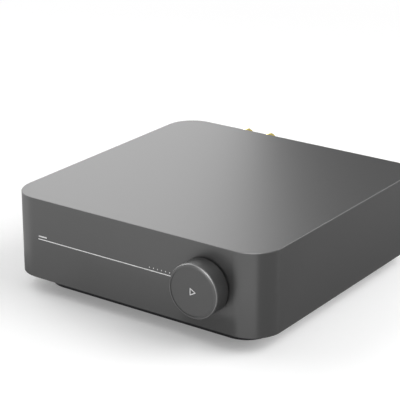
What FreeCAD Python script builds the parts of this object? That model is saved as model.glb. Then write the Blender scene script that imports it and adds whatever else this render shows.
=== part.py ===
import FreeCAD
import Part

import math
import os

# Compact streaming amplifier: a square aluminium casing on a smaller black base, with a press-and-turn
# volume knob at the front and the sockets at the back. Millimetres. The origin is on the floor under the
# middle of the casing, +Z is up and the front faces -Y.

V = FreeCAD.Vector
X, Y, Z = V(1, 0, 0), V(0, 1, 0), V(0, 0, 1)

# Casing: one aluminium shell, open below and with a window behind
CASE_WIDTH = 190.0
CASE_DEPTH = 190.0
CASE_HEIGHT = 53.0
CORNER_RADIUS = 20.0
WALL = 3.0
TOP_WALL = 3.0
EDGE_CHAMFER = 0.35

# Base: the black cover that closes the shell, the smaller plinth below it and its rubber ring
BASE_HEIGHT = 10.0
BASE_INSET = 13.8
PLINTH_RADIUS = 17.0
PLINTH_WALL = 2.5
PLINTH_FLOOR = 2.4
COVER_THICKNESS = 2.5
COVER_RECESS = 0.8
COVER_GAP = 0.3
FOOT_PROUD = 0.5
FOOT_SEAT = 1.0
FOOT_WIDTH = 6.0
FOOT_INSET = 2.0
FOOT_GAP = 0.1
VENT_WIDTH = 2.0
VENT_LENGTH = 6.5
VENT_PITCH = 6.0
VENT_COUNT = 17
VENT_MARGIN = 1.8

# Fasteners
BOSS_RADIUS = 3.6
BOSS_INSET = 11.5
SCREW_RADIUS = 1.45
SCREW_HEAD_RADIUS = 2.7
SCREW_HEAD_HEIGHT = 1.5
SCREW_GRIP = 7.0
PILOT_DEPTH = 9.0
PLINTH_SCREW_INSET = 14.0
STANDOFF_RADIUS = 3.0

# Front: accent line, status light, indicator dots and knob, nearly at one height
KNOB_FROM_SIDE = 39.6
KNOB_HEIGHT = 27.4
LINE_BELOW = 0.7
LINE_FROM_SIDE = 23.6
LINE_WIDTH = 0.6
LINE_GAP = 0.02
LINE_DEPTH = 0.4
LINE_TO_KNOB = 1.5
LIGHT_RAISE = 1.9
BAR_LENGTH = 6.6
BAR_HEIGHT = 0.95
BAR_OFFSET = 0.4
DOT_RADIUS = 0.36
DOT_PITCH = 2.96
DOT_COUNT = 6
DOT_FROM_KNOB = 25.4
GUIDE_FLANGE = 1.6
GUIDE_THICKNESS = 1.5
LIGHT_GAP = 0.05

# Knob and its push-switch encoder
KNOB_RADIUS = 17.0
KNOB_PROUD = 13.4
KNOB_GAP = 1.0
KNOB_EDGE = 2.0
KNOB_EDGE_BOW = 0.45
KNOB_DISH = 0.3
KNOB_WALL = 2.4
KNOB_FACE = 2.2
KNOB_PRESS = 0.5
HUB_RADIUS = 6.0
HUB_RIBS = 6
HUB_RIB_WIDTH = 1.2
HUB_RIB_DEPTH = 5.0
HUB_RIB_GAP = 0.3
SHAFT_RADIUS = 3.0
SHAFT_FLAT = 1.5
SHAFT_CLEARANCE = 0.05
BUSHING_RADIUS = 3.5
BUSHING_PROUD = 3.4
BUSHING_GAP = 0.1
NUT_ACROSS = 10.0
NUT_THICKNESS = 2.0
WASHER_THICKNESS = 0.5
WASHER_RADIUS = 6.0
ENCODER_WIDTH = 12.0
ENCODER_HEIGHT = 13.2
ENCODER_DEPTH = 7.0
PLUNGER_RADIUS = 2.2
PLUNGER_LENGTH = 2.4
SYMBOL_SIDE = 5.0
SYMBOL_STROKE = 0.52
SYMBOL_DEPTH = 0.3
SYMBOL_ROUND = 0.25

# Boards
BOARD = 1.6
BOARD_LIFT = 6.7
BOARD_EDGE = 5.0
MAIN_BOARD_DEPTH = 74.0
POWER_BOARD_DEPTH = 80.0
BOARD_SPACING = 7.0
BOARD_SCREW_INSET = 5.0
FRONT_BOARD_HEIGHT = 22.0
ANALOGUE_LIFT = 18.4
ANALOGUE_DEPTH = 27.0
SPACER_RADIUS = 2.5

# Rear panel and its window in the shell
WINDOW_MARGIN = 0.5
WINDOW_BELOW = 6.0
WINDOW_ABOVE = 5.0
WINDOW_RADIUS = 5.0
PANEL_GAP = 0.2
PANEL_RECESS = 1.0
PANEL_FLANGE = 2.0
PANEL_LAP = 1.8
TAB_WIDTH = 8.0
TAB_THICKNESS = 2.0
TAB_HEIGHT = 10.5
TAB_FROM_EDGE = 13.0
PANEL_SCREW_RISE = 7.0
SOCKET_GAP = 0.25
SOCKET_PROUD = 0.6

# Speaker terminals: two rows of two, at the spacing of a double banana plug
POST_PITCH = 19.05
POST_FROM_EDGE = 18.5
POST_FROM_TOP = 12.5
POST_PROUD = 24.0
STUD_RADIUS = 3.0
STUD_INSIDE = 6.0
STUD_TAIL_RADIUS = 1.4
STUD_TAIL = 3.1
BANANA_RADIUS = 2.0
BANANA_DEPTH = 16.0
INSULATOR_RADIUS = 6.6
INSULATOR_NECK = 4.2
INSULATOR_PROUD = 2.6
INSULATOR_INSIDE = 1.5
NECK_GAP = 0.1
POST_NUT_ACROSS = 10.0
POST_NUT_THICKNESS = 2.4
RING_RADIUS = 5.2
RING_THICKNESS = 2.0
RING_BORE = 4.3
RING_COUNTERBORE = 4.9
RING_LIP = 1.1
RING_SLIT = 0.2
COLLAR_RADIUS = 4.0
COLLAR_LIP = 4.6
COLLAR_SLIT = 0.15
THREAD_RUNNING = 0.06
THUMB_RADIUS = 5.4
THUMB_LIP = 1.3
THUMB_MOUTH = 2.7
THUMB_FLUTES = 16
THUMB_FLUTE_RADIUS = 0.6
THUMB_FLUTE_LENGTH = 13.0
THUMB_CHAMFER = 0.6
STUD_SETBACK = 0.3

# Phono jacks on the analogue board
JACK_MARGIN = 4.0
JACK_PITCH = 15.5
JACK_COUNT = 3
JACK_BARREL = 4.15
JACK_BARREL_WALL = 0.6
JACK_BARREL_ROOT = 3.9
JACK_PROUD = 9.4
JACK_CONTACT = 1.6
JACK_CONTACT_WALL = 0.3
JACK_CONTACT_DEPTH = 9.0
JACK_SETBACK = 0.8
JACK_COLLAR = 5.2
JACK_COLLAR_PROUD = 1.4
JACK_HOUSING = 12.0
JACK_HOUSING_DEPTH = 11.0
JACK_SEAT = 2.0
JACK_LIFT = 6.4

# Digital sockets on the main board: (width, height, depth) of each body
OPTICAL = (13.0, 11.4, 14.0)
HDMI = (15.4, 6.2, 12.0)
HDMI_CORNER = 1.6
USB = (13.6, 6.6, 14.0)
PORT_WALL = 0.55
TONGUE_WIDTH = 11.0
TONGUE_THICKNESS = 1.8
TONGUE_SETBACK = 1.2
TONGUE_ROOT = 3.0
NETWORK = (15.6, 13.4, 16.0)
NETWORK_OPENING = (11.9, 7.2, 12.5)
NETWORK_NOTCH = (6.4, 2.2)
NETWORK_SILL = 1.4

# Mains inlet: two pins in a figure-eight well, clipped into the panel from outside
INLET = (18.4, 13.4, 17.4)
INLET_FROM_EDGE = 13.4
INLET_LIFT = 5.4
INLET_FLANGE = 1.2
INLET_FLANGE_THICKNESS = 1.6
INLET_LOBE = 4.1
INLET_WAIST = 3.3
INLET_WELL = 12.5
INLET_PIN_PITCH = 8.6
INLET_PIN_RADIUS = 1.18
INLET_PIN_LENGTH = 9.5
INLET_TAB = (4.8, 0.8, 5.0)

# Optical socket: the shutter hangs from a pin across the top of the mouth and swings inwards
MOUTH_WIDTH = 8.4
MOUTH_HEIGHT = 8.0
MOUTH_SILL = 1.0
OPTICAL_WELL = 11.0
SHUTTER_ROOF = 1.4
SHUTTER_THICKNESS = 0.8
SHUTTER_GAP = 0.2
SHUTTER_PIN_RADIUS = 0.5
SHUTTER_PIN_REACH = 1.2
SHUTTER_RUNNING = 0.05
SHUTTER_SETBACK = 0.6

# Parts on the boards: heat sinks, capacitors, wound parts, chips and wiring
FIN_THICKNESS = 1.2
FIN_PITCH = 4.0
HEAT_SINK_BASE = 3.0
TRANSFORMER = (36.0, 32.0, 27.0)
CORE_LIMB = 8.0
WINDING_PROUD = 4.5
WINDING_GAP = 0.4
WINDING_ROUND = 3.0
CAPACITOR_RADIUS = 9.0
CAPACITOR_HEIGHT = 30.0
CRIMP_RISE = 3.5
CRIMP_WIDTH = 1.2
CRIMP_DEPTH = 0.6
OUTPUT_CAPACITOR_RADIUS = 6.3
OUTPUT_CAPACITOR_HEIGHT = 22.0
CHOKE_RADIUS = 11.0
CHOKE_BORE = 5.5
CHOKE_HEIGHT = 12.0
CHOKE_ROUND = 2.2
COIL_RADIUS = 5.4
COIL_HEIGHT = 11.0
COIL_FLANGE = 1.8
COIL_WAIST = 4.6
FILM_ROUND = 0.8
LEAD_RADIUS = 1.1
COAX_RADIUS = 0.6
RIBBON_WIDTH = 12.0
RIBBON_THICKNESS = 0.6
RIBBON_LEVEL = 33.0
RIBBON_FROM_SIDE = 17.5
RIBBON_HEADER_FROM_FRONT = 8.0
LINK_FROM_SIDE = 61.5
LINK_FROM_EDGE = 4.3
MAINS_FROM_SIDE = 19.5
MAINS_FROM_EDGE = 7.6
STRAP_WIDTH = 3.0
ANTENNA_WIDTH = 14.0
ANTENNA_HEIGHT = 5.0
ANTENNA_THICKNESS = 1.2
ANTENNA_FIRST = 14.0
ANTENNA_SECOND = 7.0
MODULE_FROM_SIDE = 29.5
MODULE_FROM_BACK = 52.0
HEADER_HEIGHT = 5.0

# Levels and planes worked out from the sizes above
RIM = BASE_HEIGHT
TOP = RIM + CASE_HEIGHT
CEILING = TOP - TOP_WALL
COVER_LOW = RIM + COVER_RECESS
COVER_HIGH = COVER_LOW + COVER_THICKNESS
HALF_X, HALF_Y = CASE_WIDTH / 2, CASE_DEPTH / 2
FRONT, FRONT_IN = -HALF_Y, -HALF_Y + WALL
BACK, BACK_IN = HALF_Y, HALF_Y - WALL
PANEL_FACE = BACK - PANEL_RECESS
PANEL_IN = BACK_IN - PANEL_FLANGE
BOARD_LOW = COVER_HIGH + BOARD_LIFT
BOARD_TOP = BOARD_LOW + BOARD
AXIS_Z = RIM + KNOB_HEIGHT
LINE_Z = AXIS_Z - LINE_BELOW
LIGHT_Z = LINE_Z + LIGHT_RAISE
KNOB_X = HALF_X - KNOB_FROM_SIDE
WINDOW_HALF = HALF_X - CORNER_RADIUS - WINDOW_MARGIN
WINDOW_LOW, WINDOW_HIGH = RIM + WINDOW_BELOW, TOP - WINDOW_ABOVE
POST_COLUMNS = (-WINDOW_HALF + POST_FROM_EDGE, -WINDOW_HALF + POST_FROM_EDGE + POST_PITCH)
POST_ROWS = (TOP - POST_FROM_TOP, TOP - POST_FROM_TOP - POST_PITCH)
INLET_X = WINDOW_HALF - INLET_FROM_EDGE
SOCKETS_FROM = POST_COLUMNS[1] + INSULATOR_RADIUS
SOCKETS_TO = INLET_X - INLET[0] / 2 - INLET_FLANGE
BETWEEN_SOCKETS = (SOCKETS_TO - SOCKETS_FROM - OPTICAL[0] - HDMI[0] - USB[0] - NETWORK[0]) / 5
OPTICAL_X = SOCKETS_FROM + BETWEEN_SOCKETS + OPTICAL[0] / 2
HDMI_X = OPTICAL_X + OPTICAL[0] / 2 + BETWEEN_SOCKETS + HDMI[0] / 2
USB_X = HDMI_X + HDMI[0] / 2 + BETWEEN_SOCKETS + USB[0] / 2
NETWORK_X = USB_X + USB[0] / 2 + BETWEEN_SOCKETS + NETWORK[0] / 2
POST_END = PANEL_FACE + POST_PROUD
SOCKET_FACE = PANEL_FACE + SOCKET_PROUD
MAIN_BACK = PANEL_IN - BOARD_EDGE + 1
MAIN_FRONT = MAIN_BACK - MAIN_BOARD_DEPTH
MAIN_HALF = HALF_X - WALL - BOSS_INSET - BOARD_EDGE
FRONT_BOARD = FRONT_IN + ENCODER_DEPTH
POWER_FRONT = FRONT_BOARD + BOARD + BOARD_EDGE
POWER_BACK = min(POWER_FRONT + POWER_BOARD_DEPTH, MAIN_FRONT - BOARD_SPACING)
RIBBON_X = -MAIN_HALF + RIBBON_FROM_SIDE
LINK_X = -MAIN_HALF + LINK_FROM_SIDE
MAINS_X = MAIN_HALF - MAINS_FROM_SIDE
MAINS_Y = POWER_BACK - MAINS_FROM_EDGE
MODULE_X = MAIN_HALF - MODULE_FROM_SIDE
MODULE_Y = MAIN_BACK - MODULE_FROM_BACK
ANALOGUE_LOW = BOARD_TOP + ANALOGUE_LIFT
ANALOGUE_TOP = ANALOGUE_LOW + BOARD
JACK_Z = ANALOGUE_TOP + JACK_LIFT
JACK_END = PANEL_FACE + JACK_PROUD
RING_NEAR = PANEL_FACE + INSULATOR_PROUD + RING_SLIT
STUD_END = POST_END - THUMB_LIP - STUD_SETBACK
TERMINAL_BOARD = PANEL_IN - STUD_INSIDE
INLET_Z = BOARD_TOP + INLET_LIFT + INLET[1] / 2
MOUTH_LOW = BOARD_TOP + MOUTH_SILL
MOUTH_TOP = MOUTH_LOW + MOUTH_HEIGHT
SHUTTER_Z = MOUTH_TOP + SHUTTER_ROOF / 2
SHUTTER_Y = SOCKET_FACE - SHUTTER_SETBACK - SHUTTER_THICKNESS


def block(x, y, z):
    """A box between the pairs of limits x, y and z."""
    return Part.makeBox(x[1] - x[0], y[1] - y[0], z[1] - z[0], V(x[0], y[0], z[0]))


def rounded(shape, radius, axis):
    """The shape with its edges that run along axis rounded."""
    edges = [e for e in shape.Edges
             if abs(abs((e.Vertexes[-1].Point - e.Vertexes[0].Point).normalize() * axis) - 1) < 1e-6]
    return shape.makeFillet(radius, edges)


def slab(half_x, half_y, radius, low, high):
    """A plate with rounded corners, centred on the Z axis."""
    return rounded(block((-half_x, half_x), (-half_y, half_y), (low, high)), radius, Z)


def rod(x, z, near, far, radius):
    """A cylinder along +Y from near to far."""
    return Part.makeCylinder(radius, far - near, V(x, near, z), Y)


def pillar(x, y, low, high, radius):
    """A cylinder along +Z from low to high."""
    return Part.makeCylinder(radius, high - low, V(x, y, low), Z)


def tube(x, z, near, far, outer, inner):
    """A hollow cylinder along +Y."""
    return rod(x, z, near, far, outer).cut(rod(x, z, near, far, inner))


def polygon_prism(points, depth):
    """A closed outline pushed along the vector depth."""
    return Part.Face(Part.makePolygon(points + points[:1])).extrude(depth)


def hexagon(x, z, near, far, across):
    """A hexagonal prism along +Y, across its flats."""
    reach = across / math.sqrt(3)
    turns = [math.radians(60 * k) for k in range(6)]
    return polygon_prism([V(x + reach * math.cos(a), near, z + reach * math.sin(a)) for a in turns],
                         Y * (far - near))


def lead(points, radius):
    """A six-sided lead along straight runs joined by arcs as large as the runs allow."""
    edges, start = [], points[0]
    for before, corner, after in zip(points, points[1:], points[2:]):
        back, ahead = (before - corner), (after - corner)
        reach = 0.45 * min(back.Length, ahead.Length)
        back, ahead = back.normalize(), ahead.normalize()
        half = back.getAngle(ahead) / 2
        bow = reach / math.cos(half) - reach * math.tan(half)
        first, last = corner + back * reach, corner + ahead * reach
        middle = corner + (back + ahead).normalize() * bow
        edges += [Part.LineSegment(start, first).toShape(), Part.Arc(first, middle, last).toShape()]
        start = last
    edges.append(Part.LineSegment(start, points[-1]).toShape())
    forward = (points[1] - points[0]).normalize()
    side = forward.cross(Z if abs(forward * Z) < 0.9 else X).normalize()
    top = forward.cross(side)
    turns = [math.radians(60 * k) for k in range(6)]
    ring = [points[0] + side * (radius * math.cos(a)) + top * (radius * math.sin(a)) for a in turns]
    return Part.Wire(edges).makePipeShell([Part.makePolygon(ring + ring[:1])], True, False)


def corners(inset_x, inset_y):
    """The four points at equal insets from the sides of the casing."""
    return [(sx * (HALF_X - inset_x), sy * (HALF_Y - inset_y)) for sx in (-1, 1) for sy in (-1, 1)]


def case_screw_points():
    return corners(BOSS_INSET, BOSS_INSET)


def front_boss_points():
    """Where the front board screws to bosses on the front wall."""
    rise = FRONT_BOARD_HEIGHT / 2 - BOARD_SCREW_INSET / 2 - 1
    return [(x, AXIS_Z + s * rise)
            for x in (-MAIN_HALF + BOARD_SCREW_INSET, MAIN_HALF - BOARD_SCREW_INSET) for s in (-1, 1)]


def main_screw_points():
    x = MAIN_HALF - BOARD_SCREW_INSET
    return [(sx * x, y) for sx in (-1, 1)
            for y in (MAIN_FRONT + BOARD_SCREW_INSET, MAIN_BACK - BOARD_SCREW_INSET * 2)]


def power_limits():
    return (-MAIN_HALF, MAIN_HALF), (POWER_FRONT, POWER_BACK)


def power_screw_points():
    (left, right), (near, far) = power_limits()
    inset = BOARD_SCREW_INSET
    return [(x, y) for x in (left + inset, right - inset) for y in (near + inset, far - inset)]


def tab_points():
    """The middles of the two upright tabs behind the rear panel."""
    x = WINDOW_HALF - TAB_FROM_EDGE
    return (-x, x)


def post_points():
    return [(x, z) for z in POST_ROWS for x in POST_COLUMNS]


def jack_positions():
    first = POST_COLUMNS[1] + INSULATOR_RADIUS + JACK_MARGIN + JACK_HOUSING / 2
    return [first + JACK_PITCH * (JACK_COUNT - 1 - k) for k in range(JACK_COUNT)]


def spacer_points():
    (left, right), (near, far) = analogue_limits()
    return [(x, y) for x in (left + 3.5, right - 3.5) for y in (near + 3.5, near + 3.5 + SPACER_RADIUS * 5)]


def analogue_limits():
    xs = jack_positions()
    reach = JACK_HOUSING / 2 + 2
    return (min(xs) - reach, max(xs) + reach), (PANEL_IN - ANALOGUE_DEPTH - 2, PANEL_IN - 2)


def shell():
    """The unibody: top and four walls, screw bosses, the rear window and the front's holes."""
    body = slab(HALF_X, HALF_Y, CORNER_RADIUS, RIM, TOP)
    rim_edges = [e for e in body.Edges if all(abs(v.Z - TOP) < 1e-6 for v in e.Vertexes)]
    body = body.makeChamfer(EDGE_CHAMFER, rim_edges)
    body = body.cut(slab(HALF_X - WALL, HALF_Y - WALL, CORNER_RADIUS - WALL, RIM - 1, CEILING))
    for x, y in case_screw_points():
        body = body.fuse(pillar(x, y, COVER_HIGH, CEILING, BOSS_RADIUS))
        body = body.cut(pillar(x, y, COVER_HIGH, COVER_HIGH + PILOT_DEPTH, SCREW_RADIUS))
    for x, z in front_boss_points():
        body = body.fuse(rod(x, z, FRONT_IN, FRONT_BOARD, STANDOFF_RADIUS))
        body = body.cut(rod(x, z, FRONT_BOARD - SCREW_GRIP + BOARD, FRONT_BOARD, SCREW_RADIUS))
    opening = block((-WINDOW_HALF, WINDOW_HALF), (BACK_IN - 1, BACK + 1), (WINDOW_LOW, WINDOW_HIGH))
    body = body.cut(rounded(opening, WINDOW_RADIUS, Y))
    body = body.cut(rod(KNOB_X, AXIS_Z, FRONT - 1, FRONT_IN + 1, BUSHING_RADIUS + BUSHING_GAP))
    body = body.cut(line_strip(0.0))
    body = body.cut(bar_core(FRONT - 1, FRONT_IN + 1, LIGHT_GAP))
    for x in dot_positions():
        body = body.cut(rod(x, LIGHT_Z, FRONT - 1, FRONT_IN + 1, DOT_RADIUS + LIGHT_GAP))
    return body.removeSplitter()


def line_span():
    return -HALF_X + LINE_FROM_SIDE, KNOB_X - KNOB_RADIUS - LINE_TO_KNOB


def line_strip(gap):
    """The accent line, let into the front wall and taken in by gap at its edges."""
    left, right = line_span()
    half = LINE_WIDTH / 2 - gap
    return block((left + gap, right - gap), (FRONT, FRONT + LINE_DEPTH), (LINE_Z - half, LINE_Z + half))


def bar_core(near, far, gap):
    """The status light's round-ended window, grown by gap."""
    left = line_span()[0] + BAR_OFFSET
    half = BAR_HEIGHT / 2 + gap
    core = block((left - gap, left + BAR_LENGTH + gap), (near, far), (LIGHT_Z - half, LIGHT_Z + half))
    return rounded(core, half * 0.9, Y)


def dot_positions():
    last = KNOB_X - DOT_FROM_KNOB
    return [last - DOT_PITCH * k for k in range(DOT_COUNT)]


def front_lights():
    """Light guides in the front wall: each has a flange behind the wall, next to its lamp."""
    behind = FRONT_IN + GUIDE_THICKNESS
    left = line_span()[0] + BAR_OFFSET
    flange = block((left - GUIDE_FLANGE, left + BAR_LENGTH + GUIDE_FLANGE), (FRONT_IN, behind),
                   (LIGHT_Z - GUIDE_FLANGE, LIGHT_Z + GUIDE_FLANGE))
    bar = bar_core(FRONT, FRONT_IN, 0.0).fuse(flange)
    xs = dot_positions()
    dots = block((min(xs) - GUIDE_FLANGE, max(xs) + GUIDE_FLANGE), (FRONT_IN, behind),
                 (LIGHT_Z - GUIDE_FLANGE, LIGHT_Z + GUIDE_FLANGE))
    for x in xs:
        dots = dots.fuse(rod(x, LIGHT_Z, FRONT, FRONT_IN + 0.2, DOT_RADIUS))
    lamp_x = [left + BAR_LENGTH / 2] + xs
    lamps = [block((x - 0.8, x + 0.8), (behind, FRONT_BOARD), (LIGHT_Z - 0.7, LIGHT_Z + 0.7))
             for x in lamp_x]
    return {"front_light_guides": [bar, dots], "indicator_lamps": lamps,
            "front_accent_line": line_strip(LINE_GAP)}


def bottom_cover():
    """The plate closing the shell from below, with vents and two tabs for the rear panel."""
    edge = WALL + COVER_GAP
    plate = slab(HALF_X - edge, HALF_Y - edge, CORNER_RADIUS - edge, COVER_LOW, COVER_HIGH)
    for x, y in case_screw_points():
        plate = plate.cut(pillar(x, y, COVER_LOW, COVER_HIGH, SCREW_RADIUS + COVER_GAP))
        plate = plate.cut(pillar(x, y, COVER_LOW, COVER_LOW + SCREW_HEAD_HEIGHT,
                                 SCREW_HEAD_RADIUS + COVER_GAP))
    for x in tab_points():
        tab = block((x - TAB_WIDTH / 2, x + TAB_WIDTH / 2), (PANEL_IN - TAB_THICKNESS, PANEL_IN),
                    (COVER_HIGH, COVER_HIGH + TAB_HEIGHT))
        plate = plate.fuse(tab)
        plate = plate.cut(rod(x, COVER_HIGH + PANEL_SCREW_RISE, PANEL_IN - TAB_THICKNESS, PANEL_IN,
                              SCREW_RADIUS))
    inner = HALF_X - BASE_INSET + VENT_MARGIN
    outer = inner + VENT_LENGTH
    for k in range(VENT_COUNT):
        y = (k - (VENT_COUNT - 1) / 2) * VENT_PITCH
        for side in (-1, 1):
            x = sorted((side * inner, side * outer))
            plate = plate.cut(block(x, (y - VENT_WIDTH / 2, y + VENT_WIDTH / 2), (COVER_LOW, COVER_HIGH)))
    return plate.removeSplitter()


def plinth_screw_points():
    inset = BASE_INSET + PLINTH_SCREW_INSET
    return corners(inset, inset)


def ring_plan(inset, width, low, high):
    """A rounded square ring under the plinth."""
    half_x, half_y = HALF_X - BASE_INSET - inset, HALF_Y - BASE_INSET - inset
    radius = PLINTH_RADIUS - inset
    outside = slab(half_x, half_y, radius, low, high)
    return outside.cut(slab(half_x - width, half_y - width, radius - width, low, high))


def base():
    """The plinth with its ring groove, the rubber ring, and the screws of plinth and cover."""
    half_x, half_y = HALF_X - BASE_INSET, HALF_Y - BASE_INSET
    plinth = slab(half_x, half_y, PLINTH_RADIUS, FOOT_PROUD, COVER_LOW)
    hollow = slab(half_x - PLINTH_WALL, half_y - PLINTH_WALL, PLINTH_RADIUS - PLINTH_WALL,
                  FOOT_PROUD + PLINTH_FLOOR, COVER_LOW)
    plinth = plinth.cut(hollow)
    plinth = plinth.cut(ring_plan(FOOT_INSET - FOOT_GAP, FOOT_WIDTH + 2 * FOOT_GAP, FOOT_PROUD,
                                  FOOT_PROUD + FOOT_SEAT))
    foot = ring_plan(FOOT_INSET, FOOT_WIDTH, 0.0, FOOT_PROUD + FOOT_SEAT)
    low_edges = [e for e in foot.Edges if all(abs(v.Z) < 1e-6 for v in e.Vertexes)]
    foot = foot.makeChamfer(FOOT_PROUD / 4, low_edges)
    screws = []
    for x, y in plinth_screw_points():
        plinth = plinth.cut(pillar(x, y, FOOT_PROUD, COVER_LOW, SCREW_RADIUS + COVER_GAP))
        plinth = plinth.cut(pillar(x, y, FOOT_PROUD, FOOT_PROUD + SCREW_HEAD_HEIGHT,
                                   SCREW_HEAD_RADIUS + COVER_GAP))
        screws.append(screw_up(x, y, FOOT_PROUD))
    screws += [screw_up(x, y, COVER_LOW) for x, y in case_screw_points()]
    return {"base_plinth": plinth, "rubber_foot_ring": foot, "outer_screws": screws + panel_screws()}


def screw_up(x, y, low):
    """A pan-head screw driven upwards, its head's face at low."""
    head = pillar(x, y, low, low + SCREW_HEAD_HEIGHT, SCREW_HEAD_RADIUS)
    return head.fuse(pillar(x, y, low, low + SCREW_HEAD_HEIGHT + SCREW_GRIP - 1, SCREW_RADIUS - 0.05))


def knob():
    """The hollow knob, its hub, the play symbol let into its face, and the shaft with its flat."""
    face = FRONT - KNOB_PROUD
    back = FRONT - KNOB_GAP
    cap = knob_blank(face, back)
    cap = cap.cut(rod(KNOB_X, AXIS_Z, face + KNOB_FACE, back, KNOB_RADIUS - KNOB_WALL))
    hub = rod(KNOB_X, AXIS_Z, face + KNOB_FACE, FRONT - BUSHING_PROUD - 2 * KNOB_PRESS, HUB_RADIUS)
    flat_z = AXIS_Z + SHAFT_FLAT
    trim = block((KNOB_X - SHAFT_RADIUS, KNOB_X + SHAFT_RADIUS),
                 (face, FRONT - BUSHING_PROUD - 2 * KNOB_PRESS), (flat_z, AXIS_Z + SHAFT_RADIUS))
    shaft = rod(KNOB_X, AXIS_Z, face + KNOB_FACE,
                FRONT_IN + ENCODER_DEPTH - PLUNGER_LENGTH - KNOB_PRESS - BOARD / 2, SHAFT_RADIUS).cut(trim)
    hub = hub.fuse(hub_ribs(face + KNOB_FACE)).cut(shaft)
    floor = face + KNOB_DISH
    symbol = play_outline(floor, floor + SYMBOL_DEPTH, SYMBOL_SIDE, SYMBOL_STROKE)
    cap = cap.cut(symbol)
    return {"knob_cap": cap.removeSplitter(), "knob_hub": hub.removeSplitter(), "knob_play_symbol": symbol,
            "encoder_shaft": shaft}


def knob_blank(face, back):
    """The turned knob: its face lies in a shallow dish inside a softly arched edge."""
    inner, mid = KNOB_RADIUS - KNOB_EDGE, KNOB_RADIUS - KNOB_EDGE / 2
    bow = KNOB_EDGE_BOW / math.sqrt(2)
    start, end = V(KNOB_X + inner, face, AXIS_Z), V(KNOB_X + KNOB_RADIUS, face + KNOB_EDGE, AXIS_Z)
    through = V(KNOB_X + mid + bow, face + KNOB_EDGE / 2 - bow, AXIS_Z)
    middle = V(KNOB_X, face + KNOB_DISH, AXIS_Z)
    step = V(KNOB_X + inner, face + KNOB_DISH, AXIS_Z)
    edge = Part.Arc(start, through, end).toShape()
    rim = V(KNOB_X + KNOB_RADIUS, back, AXIS_Z)
    rest = Part.makePolygon([end, rim, V(KNOB_X, back, AXIS_Z), middle, step, start])
    return Part.Face(Part.Wire([edge] + rest.Edges)).revolve(middle, Y, 360)


def hub_ribs(near):
    """Webs that steady the hub inside the knob, just short of its wall."""
    reach = KNOB_RADIUS - KNOB_WALL - HUB_RIB_GAP
    half = HUB_RIB_WIDTH / 2
    across, thick = (KNOB_X - reach, KNOB_X + reach), (AXIS_Z - half, AXIS_Z + half)
    webs = []
    for k in range(HUB_RIBS // 2):
        web = block(across, (near, near + HUB_RIB_DEPTH), thick)
        webs.append(web.rotate(V(KNOB_X, near, AXIS_Z), Y, 360.0 / HUB_RIBS * k))
    return webs[0].fuse(webs[1:])


def play_outline(near, far, side, stroke):
    """A play triangle's outline, pointing to +X, centred on the knob."""

    def triangle(reach):
        turns = [math.radians(120 * k) for k in range(3)]
        points = [V(KNOB_X + reach * math.cos(a), near, AXIS_Z + reach * math.sin(a)) for a in turns]
        return polygon_prism(points, Y * (far - near))

    reach = side / math.sqrt(3)
    outer = rounded(triangle(reach), SYMBOL_ROUND, Y)
    return outer.cut(triangle(reach - 2 * stroke))


def encoder():
    """The encoder's body and bushing, its washer and nut under the knob, and the push switch's plunger."""
    back = FRONT_BOARD
    pocket_near = FRONT_IN + ENCODER_DEPTH - PLUNGER_LENGTH - KNOB_PRESS - BOARD / 2
    body = block((KNOB_X - ENCODER_WIDTH / 2, KNOB_X + ENCODER_WIDTH / 2), (FRONT_IN, back),
                 (AXIS_Z - ENCODER_HEIGHT / 2, AXIS_Z + ENCODER_HEIGHT / 2))
    body = body.cut(rod(KNOB_X, AXIS_Z, FRONT_IN, pocket_near + KNOB_PRESS, SHAFT_RADIUS + SHAFT_CLEARANCE))
    body = body.cut(rod(KNOB_X, AXIS_Z, pocket_near, back - BOARD / 2 + KNOB_PRESS,
                        PLUNGER_RADIUS + SHAFT_CLEARANCE))
    bushing = tube(KNOB_X, AXIS_Z, FRONT - BUSHING_PROUD, FRONT_IN, BUSHING_RADIUS,
                   SHAFT_RADIUS + SHAFT_CLEARANCE)
    washer = tube(KNOB_X, AXIS_Z, FRONT - WASHER_THICKNESS, FRONT, WASHER_RADIUS,
                  BUSHING_RADIUS + BUSHING_GAP)
    nut = hexagon(KNOB_X, AXIS_Z, FRONT - WASHER_THICKNESS - NUT_THICKNESS, FRONT - WASHER_THICKNESS,
                  NUT_ACROSS)
    nut = nut.cut(rod(KNOB_X, AXIS_Z, FRONT - 10, FRONT, BUSHING_RADIUS + SHAFT_CLEARANCE))
    plunger = rod(KNOB_X, AXIS_Z, pocket_near, pocket_near + PLUNGER_LENGTH, PLUNGER_RADIUS)
    return {"encoder_body": body, "encoder_fixings": [bushing, washer, nut], "push_switch_plunger": plunger}


def front_board():
    """The board behind the front wall that carries the encoder and the lamps."""
    half = FRONT_BOARD_HEIGHT / 2
    board = block((-MAIN_HALF, MAIN_HALF), (FRONT_BOARD, FRONT_BOARD + BOARD),
                  (AXIS_Z - half, AXIS_Z + half))
    screws = []
    for x, z in front_boss_points():
        board = board.cut(rod(x, z, FRONT_BOARD, FRONT_BOARD + BOARD, SCREW_RADIUS + COVER_GAP))
        behind = FRONT_BOARD + BOARD
        head = rod(x, z, behind, behind + SCREW_HEAD_HEIGHT, SCREW_HEAD_RADIUS)
        screws.append(head.fuse(rod(x, z, behind - SCREW_GRIP + 1, behind, SCREW_RADIUS - 0.05)))
    return {"front_board": board}, screws


def drilled_board(x, y, points):
    board = block(x, y, (BOARD_LOW, BOARD_TOP))
    for px, py in points:
        board = board.cut(pillar(px, py, BOARD_LOW, BOARD_TOP, SCREW_RADIUS + COVER_GAP))
    return board


def screw_down(x, y):
    """A board screw, its head on top of the board."""
    head = pillar(x, y, BOARD_TOP, BOARD_TOP + SCREW_HEAD_HEIGHT, SCREW_HEAD_RADIUS)
    return head.fuse(pillar(x, y, BOARD_TOP - SCREW_GRIP + 1, BOARD_TOP, SCREW_RADIUS - 0.05))


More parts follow.
